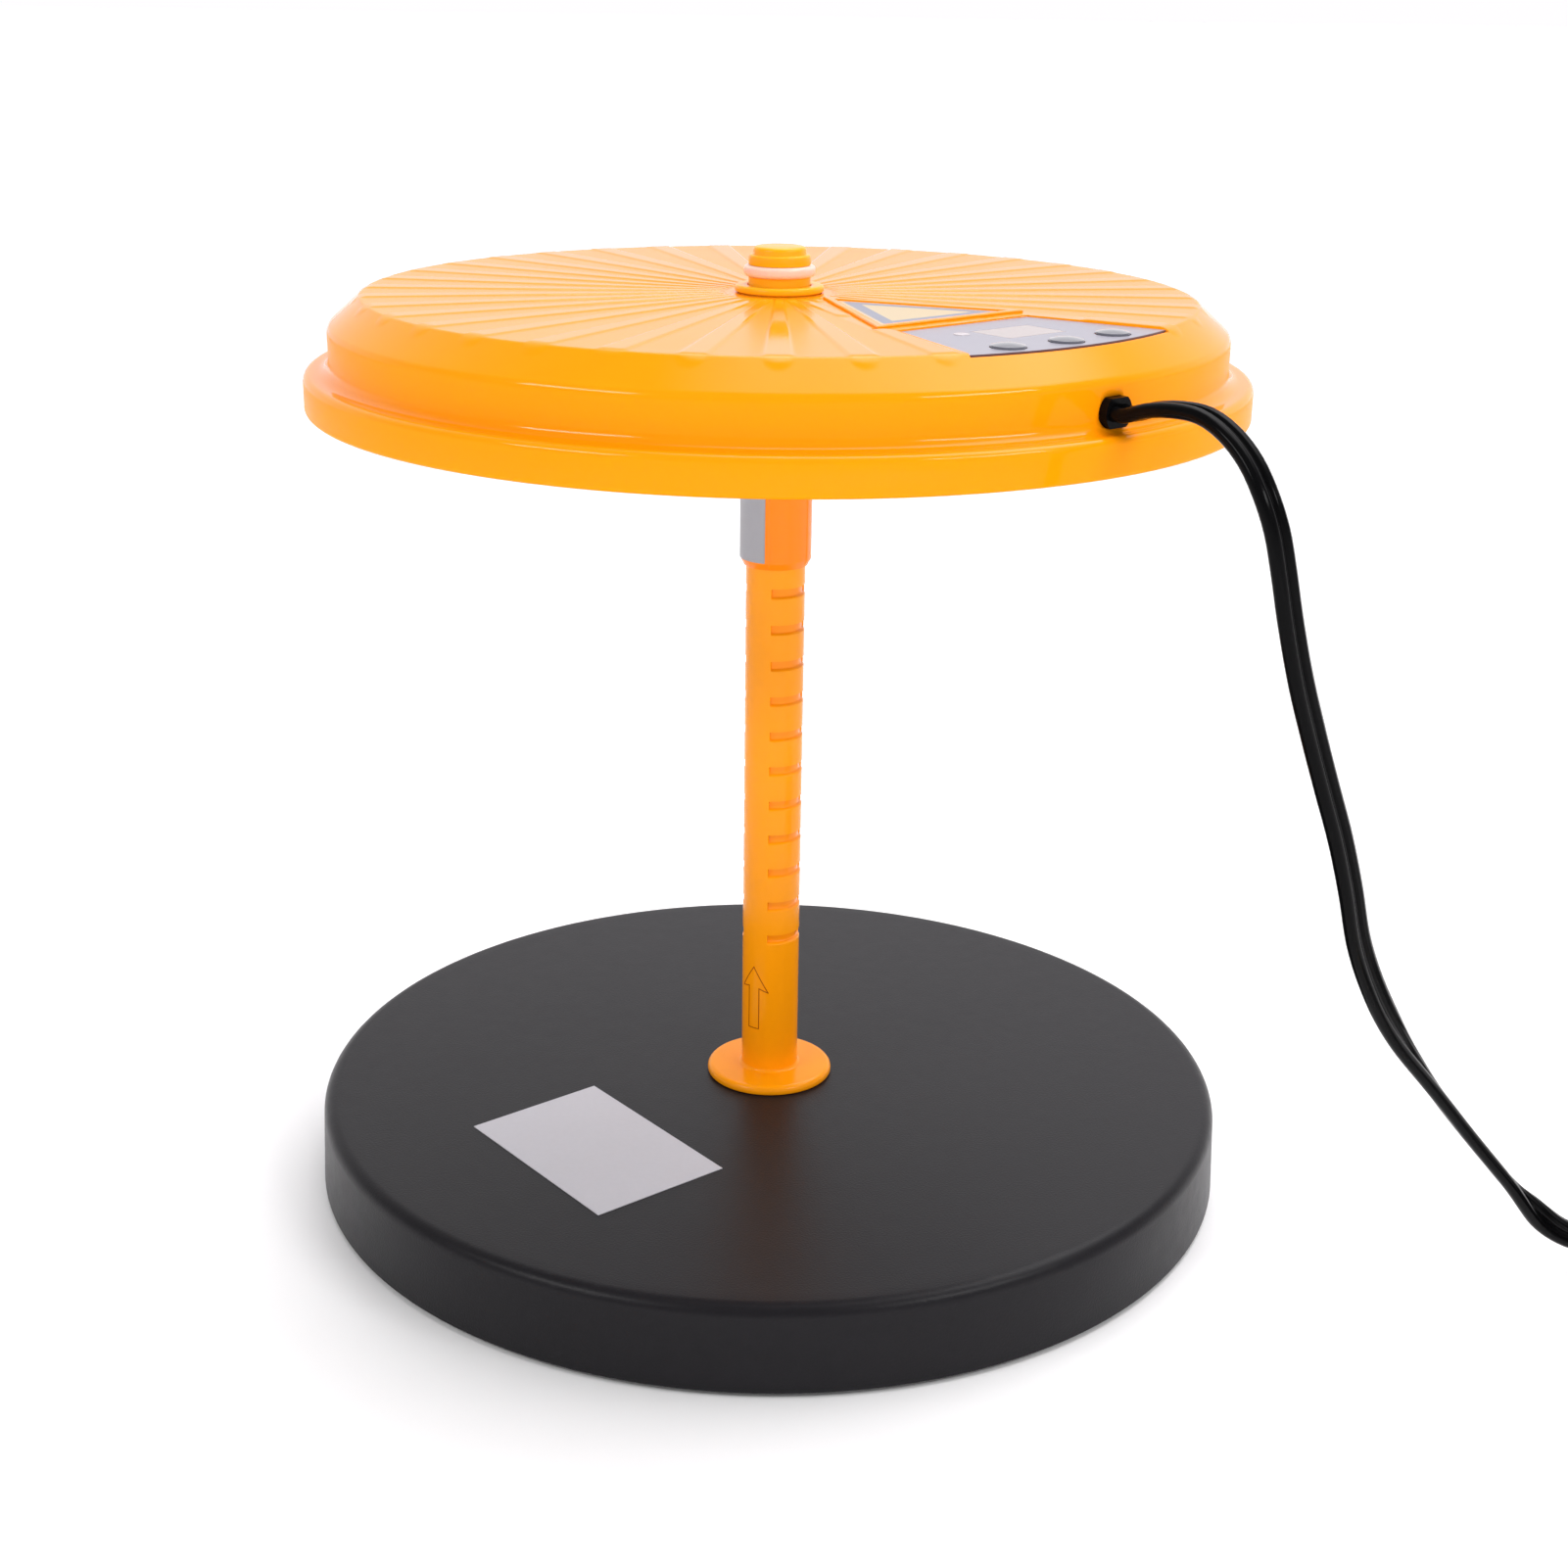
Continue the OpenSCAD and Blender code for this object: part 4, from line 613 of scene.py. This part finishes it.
def collar_orange_painted_shade_and_light(place):
    """Painted shade deepens the orange on the sleeve under the plate, and painted light makes the flange
    paler.
    """
    return place.part("Z").step(painted_shade_to * MM, painted_light_from * MM).mix(
        (1.0, 0.24, 0.003, 1.0), (1.0, 0.45, 0.006, 1.0))


def press_grip(r, z, a):
    """Shallow grip recess on the collar's front."""
    off = (a - math.radians(grip_mid) + math.pi) % (2 * math.pi) - math.pi
    press = grip_depth * smooth((math.radians(grip_half) - np.abs(off)) / math.radians(grip_fade))
    return np.where((r > collar_r - 0.2) & (z < grip_top), r - press, r), z, a


orange_collar = paint("orange_collar", collar_orange_painted_shade_and_light, 0.18, tint=0.03, scale=500.0, grain=0.03,
                      Specular_IOR_Level=0.2)
collar_corners = rounded([
    (collar_bore, collar_foot), (collar_mouth_r, collar_foot), (collar_r, taper_top), (collar_r, groove_low),
    (groove_r, groove_low), (groove_r, groove_top), (collar_r, groove_top), (collar_r, hub_part_low),
    (hub_part_r, hub_part_low), (hub_part_r, collar_flange_low), (collar_flange_r, collar_flange_low),
    (collar_flange_r, collar_top), (collar_bore, collar_top)], {1: 0.12, 2: 1.2, 10: 0.3, 11: 0.8, 12: 0.3})
collar_outline = joined(collar_corners[:3])
collar_outline += [(collar_r, z) for z in (190, 204, grip_top - 0.1, grip_top + 0.1)]
collar_outline += joined(collar_corners[3:])
grip_edges = [(grip_mid + side * grip_half + np.linspace(-grip_fade, grip_fade, 9)) % 360 for side in (-1, 1)]
collar_angles = np.concatenate([np.arange(0, 360, 3.0)] + grip_edges)
collar = lathe("collar_dressed", collar_outline, np.radians(sorted(set(np.round(collar_angles, 3)))),
               orange_collar, press_grip)
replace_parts(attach(collar, "collar"), "lock_collar")
dress("lock_tongues", steel)
dress("retaining_ring", steel)
# Painted shade: the same blank label film as the base's, made darker for the shade under the plate.
collar_label_painted_shade = paint("collar_label", (0.34, 0.33, 0.35), 0.4, tint=0.05, scale=700.0, grain=0.08)
dress("collar_label", collar_label_painted_shade)

# Cord bush: a black vinyl bush with two flats snaps into the cover's wall and guides the cord in. Inside, a
# nylon clamp with two screws takes the cord's pull.
cord_black = paint("cord_black", (0.003, 0.003, 0.0033), 0.16, tint=0.1, scale=900.0, grain=0.06,
                   Specular_IOR_Level=0.05)
dress("cord_bush", cord_black)
dress("cord_inner", cord_black)
dress("cord_clamp", pale_nylon)
dress("clamp_screws", steel)

# Mains cord: flat twin lead, two copper cores in one black vinyl jacket. It leaves the bush, hangs over the
# lip, twists on edge as it runs to the floor, and ends in a coil.
exit_r, exit_straight, lead_in, tail, tail_cuts = 117.4, 3.0, 7.0, 24.0, 8
exit_point = exit_r * out_way + np.array([0, 0, cord_z])
coil_in, coil_x, coil_y, coil_r = math.radians(115), 276.0, -86.0, 44.0
turns, turn_step, turn_cuts = 4.5, 4.2, 72
low_z, layer, layer_up, layer_turn = 4.8, 7.6, 2.0, 0.5


def coil_point(t):
    """Point of the coil after t turns: inwards along the floor, then outwards on top of that layer."""
    a = coil_in - 2 * math.pi * t
    r = coil_r - turn_step * min(t, turns - t)
    return np.array([coil_x + r * math.cos(a), coil_y + r * math.sin(a),
                     low_z + layer * smooth((t - layer_up) / layer_turn)])


in_way = np.array([math.sin(coil_in), -math.cos(coil_in), 0.0])
coil_out = coil_in - 2 * math.pi * turns
tail_way = np.array([math.sin(coil_out), -math.cos(coil_out), 0.0])
route = [exit_point, exit_point + exit_straight * out_way] + [np.array(p, float) for p in (
    (82.2, -95.9, 234.4), (86.8, -101.2, 235.5), (92, -107.3, 235.3), (96.4, -113.4, 232.6),
    (100.3, -118.8, 227.7), (103.1, -122.9, 221.7), (105.6, -125.4, 214.5), (107.7, -126.3, 205.5),
    (109.8, -126.1, 196), (113.6, -124.5, 182), (118.4, -121.5, 168), (123.1, -119, 155),
    (127.9, -116.5, 142), (132.2, -113.5, 128.5), (136.8, -109, 113), (143.5, -103, 98), (152.2, -96, 83),
    (162.4, -89, 68.5), (174.1, -82, 53), (187, -75.5, 37), (198.2, -70, 23.5), (209.5, -66, 13),
    (221.2, -61.8, 7), (233.1, -57, 5))]
coil = [coil_point(i / turn_cuts) for i in range(int(turns * turn_cuts) + 1)]
route += [coil[0] - 2 * lead_in * in_way, coil[0] - lead_in * in_way, coil[0]]


def spline(points, spacing):
    """Smooth line through the points, with stations a given spacing apart."""
    points = np.array(points)
    steps = np.linalg.norm(np.diff(points, axis=0), axis=1)
    along = np.concatenate([[0], np.cumsum(steps ** 0.5)])
    slope = np.gradient(points, along, axis=0)
    line = []
    for i in range(len(points) - 1):
        span = along[i + 1] - along[i]
        for t in np.linspace(0, 1, max(2, int(steps[i] / spacing)), endpoint=False):
            line.append((2 * t ** 3 - 3 * t ** 2 + 1) * points[i]
                        + (t ** 3 - 2 * t ** 2 + t) * span * slope[i]
                        + (3 * t ** 2 - 2 * t ** 3) * points[i + 1]
                        + (t ** 3 - t ** 2) * span * slope[i + 1])
    return line + [points[-1]]


def tube(name, line, wides, section, material):
    """Closed tube along a line, its section's first axis along the wide direction."""
    line = np.array(line)
    ahead = np.gradient(line, axis=0)
    ahead /= np.linalg.norm(ahead, axis=1)[:, None]
    points = []
    for p, t, w in zip(line, ahead, np.array(wides, float)):
        w = w - t * (w @ t)
        w /= np.linalg.norm(w)
        points += [p + x * w + y * np.cross(t, w) for x, y in section]
    return piece(name, points, ring_faces(len(line), len(section)), material)


cord_line = spline(route, 2.0) + coil[1:]
cord_line += [coil[-1] + tail * k / tail_cuts * tail_way for k in range(1, tail_cuts + 1)]
hang_side = np.array([math.cos(panel_way), math.sin(panel_way), 0.0])
edge_on_side = np.array([-0.29, 0.94, 0.19])
upright_side = np.array([0, 0, 1.0])
twist_top, twist_drop, upright_top, upright_drop = 95, 40, 33, 20
cord_wides = []
for p in cord_line:
    twist, upright = smooth((twist_top - p[2]) / twist_drop), smooth((upright_top - p[2]) / upright_drop)
    cord_wides.append((1 - twist) * hang_side + twist * (1 - upright) * edge_on_side + upright * upright_side)
core_r, ridge_h, ridge_n = 1.72, 0.06, 9
lobe_turn = np.radians(np.arange(144, -145, -9.0))
twin = []
for a in lobe_turn:
    ridged_r = core_r + ridge_h * math.cos(ridge_n * a)
    twin.append((core_r + ridged_r * math.cos(a), ridged_r * math.sin(a)))
twin += [(-core_r - core_r * math.cos(a), -core_r * math.sin(a)) for a in lobe_turn]
cord = tube("cord", cord_line, cord_wides, twin, cord_black)
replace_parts(cord, "cord_lead", "cord_coil")
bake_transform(cord)

# Tie and plug: a black nylon tie is pulled round the coil, and a vinyl plug with two brass blades is moulded
# onto the cord's end, with a ribbed strain relief and finger ridges.
tie_black = paint("tie_black", (0.012, 0.012, 0.013), 0.4, tint=0.1, scale=900.0, grain=0.15)
brass = paint("brass", (0.75, 0.55, 0.24), 0.25, tint=0.08, scale=700.0, grain=0.08, Metallic=1.0)
dress("cord_tie", tie_black)
relief_l, relief_end, relief_r, relief_grow, relief_rib, relief_pitch = 20.0, 2.5, 3.75, 2.4, 0.75, 4
plug_l, neck_r, plug_wider, plug_higher, finger_ridge, end_round = 32.0, 6.4, 2.1, 6.0, 0.45, 1.2
swell_share, ridges_from, ridges_share, ridge_waves, end_share = 0.28, 0.36, 0.4, 11, 0.07
neck_power, body_power, plug_sides = 2.2, 4.8, 48
plug_start = coil[-1] + tail * tail_way
plug_side = np.array([-tail_way[1], tail_way[0], 0.0])
plug_rings = []
for x in np.arange(0, relief_l - 0.5, 0.5):
    rib = relief_rib
    if relief_end < x < relief_l - relief_end:
        rib *= smooth(abs(x % relief_pitch - relief_pitch / 2) - 0.4)
    r = relief_r + relief_grow * x / relief_l + rib
    plug_rings.append((x, r, r, neck_power))
for x in np.linspace(0, 1, 33):
    swell = smooth(x / swell_share)
    ridged = math.sin(math.pi * min(max((x - ridges_from) / ridges_share, 0), 1))
    ridged *= 0.5 + 0.5 * math.cos(2 * math.pi * ridge_waves * x)
    close = end_round * smooth((x - 1 + end_share) / end_share) ** 2
    plug_rings.append((relief_l + plug_l * x, neck_r + plug_wider * swell - finger_ridge * ridged - close,
                       neck_r + plug_higher * swell - close, neck_power + (body_power - neck_power) * swell))
plug_points = []
for x, wide, high, power in plug_rings:
    for t in 2 * math.pi * np.arange(plug_sides) / plug_sides:
        aside = wide * abs(math.cos(t)) ** (2 / power) * np.sign(math.cos(t))
        up = high * abs(math.sin(t)) ** (2 / power) * np.sign(math.sin(t))
        plug_points.append(plug_start + x * tail_way + aside * plug_side + np.array([0, 0, up]))
plug = piece("plug_dressed", plug_points, ring_faces(len(plug_rings), plug_sides), cord_black)
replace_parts(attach(plug, "stand"), "plug_body")
dress("plug_blades", brass)

# Floor and light: a plain pale floor in a white room with a soft box overhead, a lamp on each side of the
# camera, and a weak fill light that leaves no reflection.
floor_white = paint("floor", (0.97, 0.97, 0.97), 0.9, tint=0.01, scale=20.0, grain=0.0,
                    Specular_IOR_Level=0.0)
floor_size, floor_drop = 40, 0.0002
bpy.ops.mesh.primitive_plane_add(size=floor_size, location=(0, 0, -floor_drop))
floor = bpy.context.object
floor.name = "floor"
floor.data.materials.append(floor_white)
room_glow, wall_glow, box_glow = 0.25, 0.76, 4.3
world = bpy.data.worlds.new("studio")
world.use_nodes = True
sky = Shade(world.node_tree, world.node_tree.nodes.new("ShaderNodeTexCoord").outputs["Generated"])
across, rearward, upward = sky.part("X"), sky.part("Y"), sky.part("Z")
soft_box = (across.step(-0.3, 0) * (1 - across.step(0.5, 0.8)) * rearward.step(-0.2, 0.1)
            * upward.step(0.6, 0.8))
low_walls = 1 - upward.step(0.05, 0.32)
rear_wall = rearward.step(0.1, 0.75)
glow = room_glow + wall_glow * (rear_wall + low_walls * (1 - rear_wall)) + box_glow * soft_box
back = world.node_tree.nodes["Background"]
world.node_tree.links.new(glow.socket, back.inputs["Strength"])
back.inputs["Color"].default_value = (1.0, 0.98, 1.0, 1.0)
bpy.context.scene.world = world


def lamp(name, long, wide, power, place, aim_z):
    """Soft rectangular lamp at a place, aimed at a height on the post's axis."""
    made = bpy.data.objects.new(name, bpy.data.lights.new(name, "AREA"))
    made.data.shape = "RECTANGLE"
    made.data.size, made.data.size_y = long, wide
    made.data.energy = power
    made.location = place
    made.rotation_euler = (Vector((0, 0, aim_z)) - made.location).to_track_quat("-Z", "Y").to_euler()
    bpy.context.scene.collection.objects.link(made)
    return made


lamp("left_light", 0.62, 0.18, 5.0, (-0.86, -0.66, 0.95), 0.2)
lamp("right_light", 0.62, 0.18, 5.0, (0.86, -0.66, 0.95), 0.2)
lamp("fill_light", 0.6, 0.6, 3.8, (0.55, -1.4, 0.4), 0.12).visible_glossy = False
bpy.context.scene.view_settings.view_transform = "Standard"

# Camera: stands in front of the object, a little above its plate, and looks down on it.
# Its place, tilt, roll and focal length are fitted to the circles of the base, the post and the plate.
frame_px, focal_px, middle_px, sensor = 1601, 2328.25692, 789.132045, 36.0
pitch_down, roll = 0.34037214, 0.0131429422
camera = bpy.data.objects.new("camera", bpy.data.cameras.new("camera"))
bpy.context.scene.collection.objects.link(camera)
camera.data.sensor_width = sensor
camera.data.lens = sensor * focal_px / frame_px
camera.data.shift_x = (frame_px / 2 - middle_px) / frame_px
camera.data.clip_start = 0.01
camera.matrix_world = (Matrix.Translation((0, -0.597081383, 0.323398368))
                       @ Matrix.Rotation(math.pi / 2 - pitch_down, 4, "X") @ Matrix.Rotation(roll, 4, "Z"))
bpy.context.scene.camera = camera
